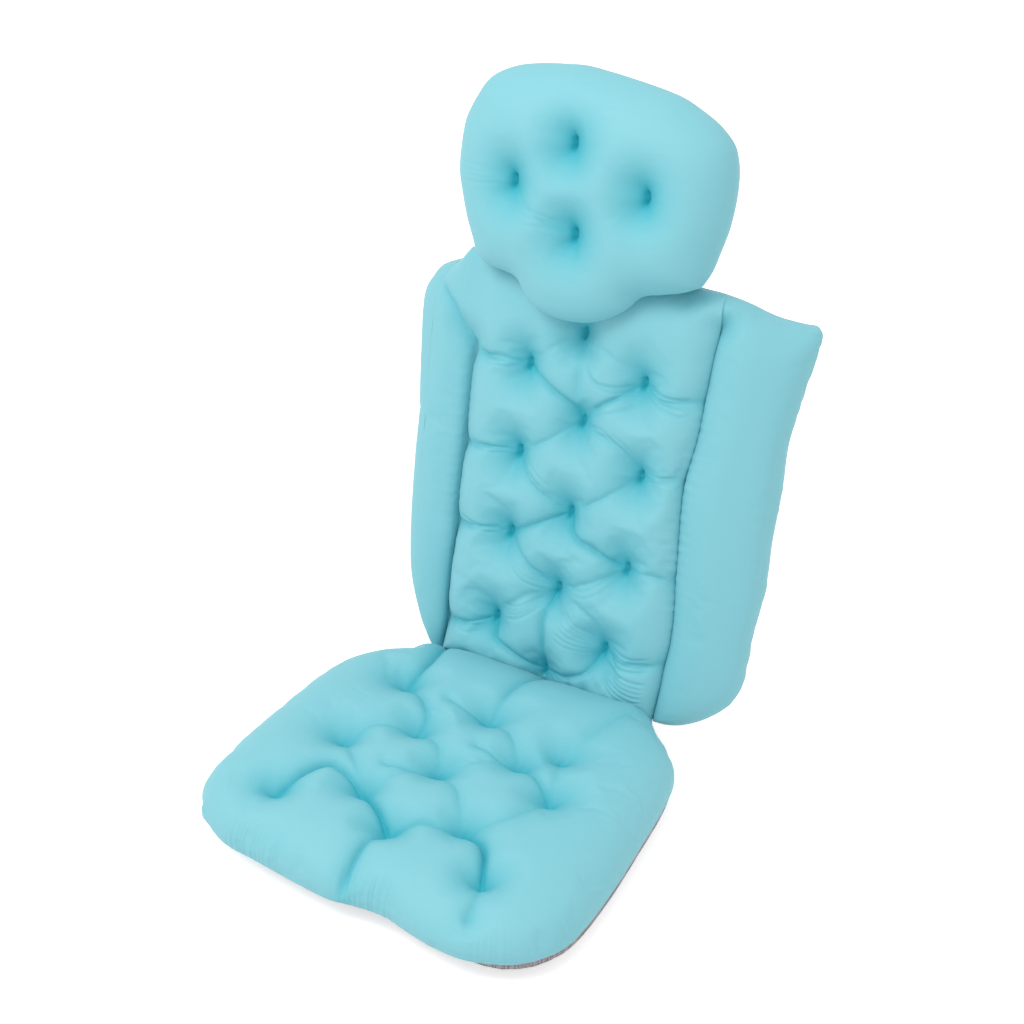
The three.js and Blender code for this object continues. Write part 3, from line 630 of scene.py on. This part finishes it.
def under_roll(pad, flat, belly, under, sides):
    """The lower half of the roll, from the widest line down to the seam."""
    seam = flat + inward_step(pad, flat, sides)
    if pad["name"] == "head":
        seam[:, 1] = np.maximum(seam[:, 1], HEAD_SEAM_LOW)
        seam[:, 0] = np.clip(seam[:, 0], -HEAD_SEAM_HALF_WIDTH, HEAD_SEAM_HALF_WIDTH)
    turn = (1 - under) * math.pi / 2
    plan = seam + (flat - seam) * np.sin(turn)[:, None]
    return np.column_stack([plan, belly * (1 - np.cos(turn))])


def pad_surface(pad):
    """The pad's object, how far each point is turned under, and its place on the flat cloth."""
    sides = side_curves(pad)
    widths = {side: pad["edges"][side][0] for side in sides}
    reach_across = middle_distance(sides["left"], sides["right"])
    reach_along = middle_distance(sides["low"], sides["high"])
    columns = line_places(reach_across, widths["left"], widths["right"])
    rows = line_places(reach_along, widths["low"], widths["high"])
    mesh = pad_grid(columns, rows)
    data = bpy.data.meshes.new(pad["name"] + "_pad")
    mesh.to_mesh(data)
    mesh.free()
    cells = places_of(data)
    flat = flat_shape(sides, cells[:, 0], cells[:, 1])
    plump, belly = swollen_height(pad, flat, sides)
    height = pulled_height(pad, flat, plump)
    points = np.column_stack([flat, height])
    under = -cells[:, 2] / UNDER_ROWS
    turned = under > 0
    points[turned] = under_roll(pad, flat[turned], belly[turned], under[turned], sides)
    meet_neighbours(pad, points, sides)
    move_to(data, points * MM)
    keep_attribute(data, "cloth_place", np.column_stack([flat, -cells[:, 2]]) * MM)
    # This attribute is painted shade: how far the cloth is pulled down, which colours it darker in
    # its folds.
    keep_attribute(data, "pulled", (plump - height) / PULL_FOR_FULL_SHADE)
    return place_object(pad["name"] + "_pad", data), under, flat


# %% [markdown]
# ## Blowing it up
# The pad so far is drawn with formulas, and cloth never lies so evenly. Blender's cloth takes it
# from there: the stuffing is a pressure from inside, gravity is off, and the seam and the tufts
# are held. A little spare cloth makes it wrinkle round what holds it. How far a point may go is
# capped, so the pad keeps the measured shape.

# %% Cloth with a pressure inside

FRAMES = 20
HELD_ENOUGH = 0.01
CLOTH = {
    "quality": 6, "mass": 0.15, "tension_stiffness": 15, "compression_stiffness": 15,
    "shear_stiffness": 5, "bending_stiffness": 0.08, "use_pressure": True,
    "uniform_pressure_force": 4, "vertex_group_mass": "held",
}


def settle(piece, held, spare_share, cap):
    """Runs the cloth and keeps the result, each point at most its own cap from its start."""
    start = places_of(piece.data)
    group = piece.vertex_groups.new(name="held")
    for index in np.flatnonzero(held > HELD_ENOUGH):
        group.add([int(index)], float(held[index]), "REPLACE")
    cloth = piece.modifiers.new("Cloth", "CLOTH")
    for setting, value in CLOTH.items():
        setattr(cloth.settings, setting, value)
    cloth.settings.shrink_min = -spare_share
    cloth.settings.effector_weights.gravity = 0
    cloth.collision_settings.use_collision = False
    cloth.collision_settings.use_self_collision = False
    cloth.point_cache.frame_start = 1
    cloth.point_cache.frame_end = FRAMES
    for step in range(1, FRAMES + 1):
        bpy.context.scene.frame_set(step)
    shown = piece.evaluated_get(bpy.context.evaluated_depsgraph_get())
    moved = places_of(shown.data) - start
    piece.modifiers.remove(cloth)
    piece.vertex_groups.remove(group)
    bpy.context.scene.frame_set(1)
    gap = np.linalg.norm(moved, axis=1)
    cap = np.maximum(cap * MM, 1e-6)
    keep = np.minimum(1, cap * np.tanh(gap / cap) / np.maximum(gap, 1e-9))
    move_to(piece.data, start + moved * keep[:, None])
    return gap.max() / MM


def refine(piece):
    """One level of subdivision, applied."""
    finer = piece.modifiers.new("Finer", "SUBSURF")
    finer.levels = finer.render_levels = 1
    shown = piece.evaluated_get(bpy.context.evaluated_depsgraph_get())
    data = bpy.data.meshes.new_from_object(shown)
    piece.modifiers.remove(finer)
    old, piece.data = piece.data, data
    bpy.data.meshes.remove(old)


# %% [markdown]
# ## Sewing the folds in
# Slits, sharp creases and fine wrinkles are narrower than the cloth's own grid, so they come after
# it. All go straight down into the pad. A slit has a gentle side and a steep one, as the thread
# pulls the cloth over to one side. Wrinkles come in fans: a fan has a first and a last line,
# and the lines between them are spread evenly, each with its own depth. Along an edge that is sewn
# a little short, the cloth is gathered into small waves that fade out over the roll.

# %% Slits, creases, wrinkles and gathers

CREASE_WIDTH = 4.0
CREASE_FADE = 8
SLIT_TAPER = 0.75
SLIT_FALL = 1.6
WRINKLE_WIDTH = 2.3
WRINKLE_FADE = 5
WRINKLE_MEAN = 0.8
WRINKLE_SWING = 0.3
FRONT_FROM = 0.4
GATHER_REACH = 19
GATHER_RISE = 12
GATHER_FADE = 0.05
GATHER_SWINGS = ((1.3, 3.7), (0.8, 2.3))


def fan_lines(fan):
    """The lines of a fan of wrinkles, and the depth of each."""
    first, last, count, depth = fan
    first, last = np.array(first, float), np.array(last, float)
    for number, share in enumerate(np.linspace(0, 1, count)):
        uneven = WRINKLE_MEAN + WRINKLE_SWING * math.sin(5 * number)
        yield smooth_curve(first + (last - first) * share, CURVE_STEPS), depth * uneven


def gathers(pad, points, sides):
    """How far the gathered cloth of an edge sinks in at each point, in waves of uneven length."""
    sunk = np.zeros(len(points))
    for side, first, last, pitch, depth in pad.get("gathers", []):
        gap, share = line_distance(points[:, :2], sides[side])
        reach = share * np.linalg.norm(np.diff(sides[side], axis=0), axis=1).sum()
        turn = 2 * math.pi * reach / pitch
        uneven = sum(swing * np.sin(turn / period) for swing, period in GATHER_SWINGS)
        wave = 0.5 - 0.5 * np.cos(turn + uneven)
        begun = smooth_step((share - first) / GATHER_FADE)
        window = begun * smooth_step((last - share) / GATHER_FADE)
        raised = smooth_step(points[:, 2] / GATHER_RISE + 0.2)
        sunk += depth * wave * window * np.exp(-((gap / GATHER_REACH) ** 2)) * raised
    return sunk


def slit_depth(pad, points):
    """How far the slits of the tufts go down at each point, as a sum of cubes."""
    slit = pad["slit"]
    lowered = np.zeros(len(points))
    reach = np.array(slit["reach"], float)
    steep_side = np.array([reach[1], -reach[0]]) / np.linalg.norm(reach)
    for tuft in pad["tufts"]:
        side = (points - tuft) @ steep_side
        steepness = smooth_step(side / slit["steep"] + 0.5)
        width = slit["gentle"] + (slit["steep"] - slit["gentle"]) * steepness
        gap, share = line_distance(points, slit_line(pad, tuft))
        taper = 1 - SLIT_TAPER * (2 * share - 1) ** 4
        lowered += (slit["depth"] * taper * np.exp(-((gap / width) ** SLIT_FALL))) ** 3
    return lowered


def crease_depth(pad, points):
    """How far the sharp middles of the folds go down at each point, as a sum of cubes."""
    lowered = np.zeros(len(points))
    for line, _, _, sharpness in pad["folds"]:
        if sharpness:
            gap, share = line_distance(points, fold_curve(pad, line))
            ends = smooth_step(np.minimum(share, 1 - share) * CREASE_FADE)
            lowered += (sharpness * (0.5 + 0.5 * ends) * np.exp(-gap / CREASE_WIDTH)) ** 3
    return lowered


def wrinkle_depth(pad, points):
    """How far the fans of wrinkles go down at each point."""
    lowered = np.zeros(len(points))
    for fan in pad.get("fans", []):
        for line, depth in fan_lines(fan):
            gap, share = line_distance(points, line)
            ends = smooth_step(share * WRINKLE_FADE) * smooth_step((1 - share) * WRINKLE_FADE)
            lowered += depth * ends * np.exp(-((gap / WRINKLE_WIDTH) ** 2))
    return lowered


def sew(pad, piece):
    """Presses slits, creases, wrinkles and gathers into a settled pad, and deepens the painted fold
    shade there.
    """
    points = places_of(piece.data) / MM
    flat = points[:, :2]
    lowered = (slit_depth(pad, flat) + crease_depth(pad, flat)) ** (1 / 3)
    lowered += wrinkle_depth(pad, flat)
    lowered *= smooth_step(points[:, 2] / (pad["belly"] + 1) - FRONT_FROM)
    normals = np.empty(len(points) * 3)
    piece.data.vertex_normals.foreach_get("vector", normals)
    normals = normals.reshape(-1, 3)
    sunk = gathers(pad, points, side_curves(pad))
    points -= normals * np.sign(normals[:, 2].mean()) * sunk[:, None]
    points[:, 2] -= lowered
    move_to(piece.data, points * MM)
    # Slits, creases, wrinkles and gathers add to the painted shade that darkens the cloth in its
    # folds.
    pulled = np.empty(len(points))
    piece.data.attributes["pulled"].data.foreach_get("value", pulled)
    pulled = np.clip(pulled + (lowered + sunk) / CREASE_FOR_FULL_SHADE, 0, 1)
    piece.data.attributes["pulled"].data.foreach_set("value", pulled.astype(np.float32))


def close_up(piece, fill_rim=False):
    """Turns a form's faces outwards and shades them smoothly, after filling its rim if asked."""
    mesh = bmesh.new()
    mesh.from_mesh(piece.data)
    if fill_rim:
        rim = [edge for edge in mesh.edges if edge.is_boundary]
        bmesh.ops.triangle_fill(mesh, edges=rim, use_beauty=False)
    bmesh.ops.recalc_face_normals(mesh, faces=mesh.faces)
    for face in mesh.faces:
        face.smooth = True
    mesh.to_mesh(piece.data)
    mesh.free()


# %% [markdown]
# ## Making the five pads
# SPARE is the share of spare cloth, and CAP is how far its points may go. A wing's pad blends over
# to the back along its seam, and is baked in place instead of being attached to a body.

# %% Make every pad

SPARE = {"seat": 0.012, "back": 0.04, "left_wing": 0.015, "right_wing": 0.015, "head": 0.005}
CAP = {"seat": 6, "back": 7, "left_wing": 4, "right_wing": 4, "head": 6}
HELD_UNDER = 0.7
HOLD_REACH = 9
FULLY_HELD = 0.6
JOINED_REACH = 34
pads = {}
for pad in PADS:
    name = pad["name"]
    piece, under, flat = pad_surface(pad)
    held = (under > HELD_UNDER).astype(float)
    for tuft in pad["tufts"]:
        gap = line_distance(flat, slit_line(pad, tuft))[0]
        hold = np.clip(1 + FULLY_HELD - gap / HOLD_REACH, 0, 1)
        held = np.maximum(held, hold * (under == 0))
    cap = np.full(len(flat), float(CAP[name]))
    for side in pad["joined"]:
        cap *= smooth_step(line_distance(flat, side_curves(pad)[side])[0] / JOINED_REACH)
    print(name, "moved up to", round(settle(piece, held, SPARE[name], cap), 1), "mm")
    for _ in range(2 if pad["tufts"] else 1):
        refine(piece)
    sew(pad, piece)
    close_up(piece, fill_rim=True)
    move_to(piece.data, PLACES[name].to_world(places_of(piece.data) / MM))
    close_up(piece)
    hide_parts(name + "_cover", name + "_filling")
    if "wing" in name:
        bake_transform(piece)
    else:
        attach(piece, name)
    pads[name] = piece
    print(name, len(piece.data.polygons), "faces")

# %% [markdown]
# ## The mesh behind each pad
# Behind every pad lies a sheet of thick air mesh with the pad's own outline, sewn to it all round.
# It is a grid carried to the seam line, given its thickness by Solidify and its soft edge by Bevel.

# %% Air mesh sheets

MESH_THICKNESS = 7.4
MESH_EDGE = 1.6
MESH_EDGE_STEPS = 3
MESH_ROWS = 26
MESH_SEEN_FROM = 205
MESH_SEEN_FADE = 90
MESH_TUCK = 14
MESH_HIGH_TUCK = {"seat": 0, "back": 10, "left_wing": 4, "right_wing": 4, "head": 4}
MESH_FOLD_GAP = 3.0
MESH_GAP = 0.2
HEAD_FOLD_ENDS = (-120, 112)


def grid_data(name, cells, size):
    """A flat square grid, as mesh data."""
    mesh = bmesh.new()
    bmesh.ops.create_grid(mesh, x_segments=cells, y_segments=cells, size=size)
    data = bpy.data.meshes.new(name)
    mesh.to_mesh(data)
    mesh.free()
    return data


def backing_sides(pad):
    """The sides of a pad's backing: its seam, tucked in where the sheet stays out of sight."""
    sides = side_curves(pad)
    seams = {
        side: curve + inward_step(pad, curve, sides) * (0 if side == pad["fold_side"] else 1)
        for side, curve in sides.items()
    }
    if pad["name"] == "head":
        fold = np.clip(seams["low"][:, 0], *HEAD_FOLD_ENDS)
        seams["low"] = np.column_stack([fold, np.full(len(fold), HEAD_SEAM_LOW)])
        seams["left"][0], seams["right"][0] = seams["low"][0], seams["low"][-1]
    elif pad["name"] == "seat":
        tucked = smooth_step((MESH_SEEN_FROM - seams["low"][:, 0]) / MESH_SEEN_FADE)
        seams["low"][:, 1] += MESH_TUCK * tucked
        seams["left"][:, 0] += MESH_TUCK
        seams["high"][:, 1] = -MESH_FOLD_GAP
    elif pad["name"] == "back":
        seams["low"][:, 1] = MESH_FOLD_GAP
    seams["high"][:, 1] -= MESH_HIGH_TUCK[pad["name"]]
    for end in ("low", "high"):
        for side, corner in (("left", 0), ("right", -1)):
            start = 0 if end == "low" else -1
            middle = (seams[end][corner] + seams[side][start]) / 2
            seams[end][corner] = seams[side][start] = middle
    return seams


def backing(pad):
    """The thick sheet of air mesh behind a pad."""
    data = grid_data(pad["name"] + "_mesh", MESH_ROWS, 0.5)
    cells = places_of(data) + 0.5
    flat = flat_shape(backing_sides(pad), cells[:, 0], cells[:, 1])
    move_to(data, np.column_stack([flat, np.full(len(flat), -MESH_GAP)]) * MM)
    piece = place_object(pad["name"] + "_mesh", data)
    wall = piece.modifiers.new("Thickness", "SOLIDIFY")
    wall.thickness = MESH_THICKNESS * MM
    wall.offset = -1
    edge = piece.modifiers.new("Edge", "BEVEL")
    edge.width = MESH_EDGE * MM
    edge.segments = MESH_EDGE_STEPS
    edge.limit_method = "ANGLE"
    shown = piece.evaluated_get(bpy.context.evaluated_depsgraph_get())
    data = bpy.data.meshes.new_from_object(shown)
    piece.modifiers.clear()
    piece.data = data
    move_to(data, PLACES[pad["name"]].to_world(places_of(data) / MM))
    close_up(piece)
    return piece


backings = {}
for pad in PADS:
    name = pad["name"]
    piece = backing(pad)
    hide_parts(name + "_backing")
    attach(piece, name)
    backings[name] = piece
    print(piece.name, len(piece.data.polygons), "faces")

# %% [markdown]
# ## Writing materials
# A material is a graph of nodes, and a graph is easier to read as sums. A Signal stands for one
# output of a node, and Python's own operators on it add Math nodes. A Finish is one material with
# its shader. All of its nodes are made by its single method node.

# %% Signals and finishes


class Signal:
    """The output of a node, which Python's operators turn into Math nodes."""

    def __init__(self, finish, socket):
        self.finish = finish
        self.socket = socket

    def joined(self, operation, first, second):
        return self.finish.node("Math", {"operation": operation}, {0: first, 1: second})

    def __add__(self, other):
        return self.joined("ADD", self, other)

    def __radd__(self, other):
        return self.joined("ADD", other, self)

    def __sub__(self, other):
        return self.joined("SUBTRACT", self, other)

    def __rsub__(self, other):
        return self.joined("SUBTRACT", other, self)

    def __mul__(self, other):
        return self.joined("MULTIPLY", self, other)

    def __rmul__(self, other):
        return self.joined("MULTIPLY", other, self)


class Finish:
    """One material, or the world, with its shader and a method that adds nodes."""

    def __init__(self, name, kind="materials", shader="Principled BSDF"):
        self.material = getattr(bpy.data, kind).new(name)
        self.material.use_nodes = True
        self.tree = self.material.node_tree
        self.shader = self.tree.nodes[shader]

    def feed(self, socket, value):
        if isinstance(value, Signal):
            self.tree.links.new(value.socket, socket)
        else:
            socket.default_value = value

    def node(self, kind, settings=None, sockets=None, output=0):
        """Adds a node, gives it its settings and its sockets' values or links."""
        made = self.tree.nodes.new("ShaderNode" + kind)
        for setting, value in (settings or {}).items():
            if setting == "stops":
                while len(made.color_ramp.elements) < len(value):
                    made.color_ramp.elements.new(0.5)
                for stop, (place, colour) in zip(made.color_ramp.elements, value):
                    stop.position, stop.color = place, (*colour, 1)
            else:
                setattr(made, setting, value)
        for socket, value in (sockets or {}).items():
            self.feed(made.inputs[socket], value)
        return Signal(self, made.outputs[output])

    def surface(self, **values):
        """Sets or links the shader's own sockets, whose spaces are written as underscores."""
        for socket, value in values.items():
            self.feed(self.shader.inputs[socket.replace("_", " ")], value)

    def noise(self, place, scale, detail=2.0):
        return self.node("TexNoise", None, {"Vector": place, "Scale": scale, "Detail": detail})

    def object_place(self):
        return self.node("TexCoord", None, None, "Object")

    def stretched(self, place, factors):
        """A place whose axes are scaled one by one, so that a pattern gets longer one way."""
        return self.node("Mapping", None, {"Vector": place, "Scale": factors})

    def blend(self, share, first, second):
        """A colour between two, which may be links as well."""
        colours = [value if isinstance(value, Signal) else (*value, 1) for value in (first, second)]
        return self.node("Mix", {"data_type": "RGBA"}, {0: share, 6: colours[0], 7: colours[1]}, 2)

    def bumped(self, height, distance, strength=1.0):
        return self.node(
            "Bump", None, {"Height": height, "Distance": distance, "Strength": strength}
        )

    def white_ray(self):
        """1 for the rays that should see white: the camera's, mirrored and let through."""
        seen = self.node("LightPath", None, None, "Is Camera Ray")
        for kind in ("Is Glossy Ray", "Is Transmission Ray"):
            other = self.node("LightPath", None, None, kind)
            seen = self.node("Math", {"operation": "MAXIMUM"}, {0: seen, 1: other})
        return seen


print("a finish can add:", [name for name in vars(Finish) if not name.startswith("_")])

# %% [markdown]
# ## Stretch cloth
# The cover is a thin matt knit. Where it lies open it has its own pale colour, and where it is pulled
# into a fold it is painted darker and deeper, as painted shade. Each pad's mesh carries how far its
# cloth is pulled down, for that painted shade, and its place on the flat cloth, as attributes. So the
# painted shade follows the folds, and the knit's fine rows follow the cloth wherever it bends.

# %% The cover's cloth

# The open colour is the cloth's own; the fold colour below it is painted shade for cloth pulled into
# a fold.
OPEN_CLOTH = (0.220, 0.582, 0.658)
SHADED_FOLD_CLOTH = (0.030, 0.470, 0.565)


def stretch_cloth():
    finish = Finish("stretch cloth")
    cloth_place = finish.node("Attribute", {"attribute_name": "cloth_place"}, None, "Vector")
    pulled = finish.node("Attribute", {"attribute_name": "pulled"}, None, "Fac")
    cloudy = finish.noise(cloth_place, 9, 3.0)
    streaks = finish.noise(finish.stretched(cloth_place, (30, 420, 1)), 1.0, 3.0)
    knit = finish.noise(finish.stretched(cloth_place, (900, 1400, 1)), 1.0, 1.0)
    # The colour's share is painted fold shade from the attribute, plus random cloudy tone and the
    # knit's streaks.
    depth = pulled * 1.05 + (cloudy - 0.5) * 0.16 + (streaks - 0.5) * 0.12
    colour = finish.blend(depth, OPEN_CLOTH, SHADED_FOLD_CLOTH)
    finish.surface(
        Base_Color=colour,
        Roughness=0.62 + (streaks - 0.5) * 0.14,
        Normal=finish.bumped(streaks * 0.7 + knit * 0.3, 0.0003, 0.5),
    )
    finish.surface(IOR=1.55, Sheen_Weight=0.05, Sheen_Roughness=0.45)
    finish.shader.inputs["Sheen Tint"].default_value = (1, 1, 1, 1)
    return finish.material


cloth = stretch_cloth()
for piece in pads.values():
    piece.data.materials.append(cloth)
print("covers of stretch cloth:", len(pads))

# %% [markdown]
# ## Air mesh
# The backing is a thick knitted mesh with small holes in rows. The holes are far too many to model,
# so a Voronoi pattern sinks them and paints them dark, as painted shade inside the holes, and the
# threads between stand out.

# %% The backing's mesh


def air_mesh():
    finish = Finish("air mesh")
    place = finish.object_place()
    holes = finish.node(
        "TexVoronoi", {"feature": "F1"}, {"Vector": place, "Scale": 330, "Randomness": 0.25}
    )
    open_share = finish.node("MapRange", None, {0: holes, 1: 0.28, 2: 0.52, 3: 1.0, 4: 0.0})
    worn = finish.noise(place, 24, 3.0)
    thread = finish.blend(worn, (0.36, 0.31, 0.33), (0.47, 0.43, 0.45))
    finish.surface(
        # Painted shade: the holes are coloured dark where shade falls inside them.
        Base_Color=finish.blend(open_share * 0.75, thread, (0.10, 0.085, 0.095)),
        Roughness=0.78 + 0.14 * worn,
        Normal=finish.bumped(1 - open_share, 0.0007, 0.8),
    )
    return finish.material


mesh_finish = air_mesh()
for piece in backings.values():
    piece.data.materials.append(mesh_finish)
print("backings of air mesh:", len(backings))

# %% [markdown]
# ## Suction cups, patches, seams and loop
# These solids have their real shapes in the packed model, so they stay and only get their finish.
# The cups are clear soft vinyl with moulding haze, the patches and the loop are woven webbing, and
# the seams are the cover's cloth rolled up tight. Both show bands of thread over a finer grain.

# %% Clear vinyl, webbing and seam cloth


def clear_vinyl():
    finish = Finish("clear vinyl")
    place = finish.object_place()
    haze = finish.noise(place, 60, 4.0)
    flow = finish.noise(finish.stretched(place, (40, 40, 220)), 1.0, 2.0)
    finish.surface(
        Base_Color=finish.blend(haze, (0.80, 0.87, 0.88), (0.93, 0.96, 0.97)),
        Roughness=0.12 + 0.2 * haze,
        Normal=finish.bumped(flow, 0.0004, 0.3),
        IOR=1.53,
        Transmission_Weight=0.6,
    )
    return finish.material


def banded_cloth(name, bands, grain, band_share, colours, matt, relief):
    """Cloth with bands of thread, which take their share of the colour from a finer grain."""
    finish = Finish(name)
    place = finish.object_place()
    direction, scale, distortion = bands
    sockets = {"Vector": place, "Scale": scale, "Distortion": distortion, "Detail": 1.0}
    threads = finish.node(
        "TexWave", {"wave_type": "BANDS", "bands_direction": direction}, sockets, "Fac"
    )
    fibres = finish.noise(place, *grain)
    finish.surface(
        Base_Color=finish.blend(threads * band_share + fibres * (1 - band_share), *colours),
        Roughness=matt[0] + matt[1] * fibres,
        Normal=finish.bumped(threads, *relief),
    )
    return finish.material


webbing = banded_cloth(
    "webbing", ("DIAGONAL", 180, 1.2), (35, 3.0), 0.6,
    ((0.075, 0.36, 0.44), (0.19, 0.53, 0.60)), (0.7, 0.2), (0.0005, 0.7),
)
seam_cloth = banded_cloth(
    "seam cloth", ("Z", 110, 2.0), (300, 2.0), 0.5,
    ((0.06, 0.40, 0.50), (0.16, 0.54, 0.62)), (0.72, 0.16), (0.0006, 0.6),
)
FINISHES = {
    "_cup_": clear_vinyl(), "_patch_": webbing, "_seam": seam_cloth, "hanging_loop": webbing
}
dressed = 0
for name, solid in frame["nodes"].items():
    for part, finish in FINISHES.items():
        if part in name:
            for place in solid.material_slots:
                place.material = finish
            dressed += 1
print("solids with a finish:", dressed)

# %% [markdown]
# ## Floor, light and camera
# The photo is taken on white in soft light. A bright sky and one large lamp above, in front and a
# little to the left give it. The floor and the sky are white for the camera alone, so the
# background is white without any more light on the pillow, and the floor still takes its shadow.

# %% White floor and sky

FLOOR_REACH = 6
SKY_LIGHT = 0.89

floor = place_object("floor", grid_data("floor", 1, FLOOR_REACH))
paper = Finish("paper")
shown = paper.white_ray()
paper.surface(
    Base_Color=paper.blend(shown, (0.80, 0.80, 0.80), (1, 1, 1)),
    Roughness=0.9,
    Emission_Color=paper.blend(shown, (0, 0, 0), (0.5, 0.5, 0.5)),
    Emission_Strength=1,
)
floor.data.materials.append(paper.material)

studio = Finish("studio", "worlds", "Background")
bpy.context.scene.world = studio.material
sky = studio.node(
    "MapRange", None, {"Value": studio.white_ray(), "To Min": SKY_LIGHT, "To Max": 1.0}
)
studio.surface(Color=(1, 1, 1, 1), Strength=sky)

# %% Lamp and camera

LAMP_PLACE = (-0.6, -1.4, 2.6)
LAMP_TARGET = (0, 0, 0.35)
LAMP_SIZE = 1.2
LAMP_POWER = 24
CAMERA_PLACE = (0.959, -1.659, 1.5546)
CAMERA_DOWN = 32.0
CAMERA_TURN = 29.4
FOCAL_LENGTH = 70.3125

lamp_data = bpy.data.lights.new("key", "AREA")
lamp_data.size = LAMP_SIZE
lamp_data.energy = LAMP_POWER
lamp = place_object("key", lamp_data)
lamp.location = LAMP_PLACE
towards = Vector(LAMP_TARGET) - Vector(LAMP_PLACE)
lamp.rotation_euler = towards.to_track_quat("-Z", "Y").to_euler()

camera_data = bpy.data.cameras.new("camera")
camera_data.sensor_fit = "HORIZONTAL"
camera_data.sensor_width = 36
camera_data.lens = FOCAL_LENGTH
camera = place_object("camera", camera_data)
camera.location = CAMERA_PLACE
camera.rotation_euler = (math.radians(90 - CAMERA_DOWN), 0, math.radians(CAMERA_TURN))
bpy.context.scene.camera = camera
bpy.context.scene.view_settings.view_transform = "Standard"

# %% The end
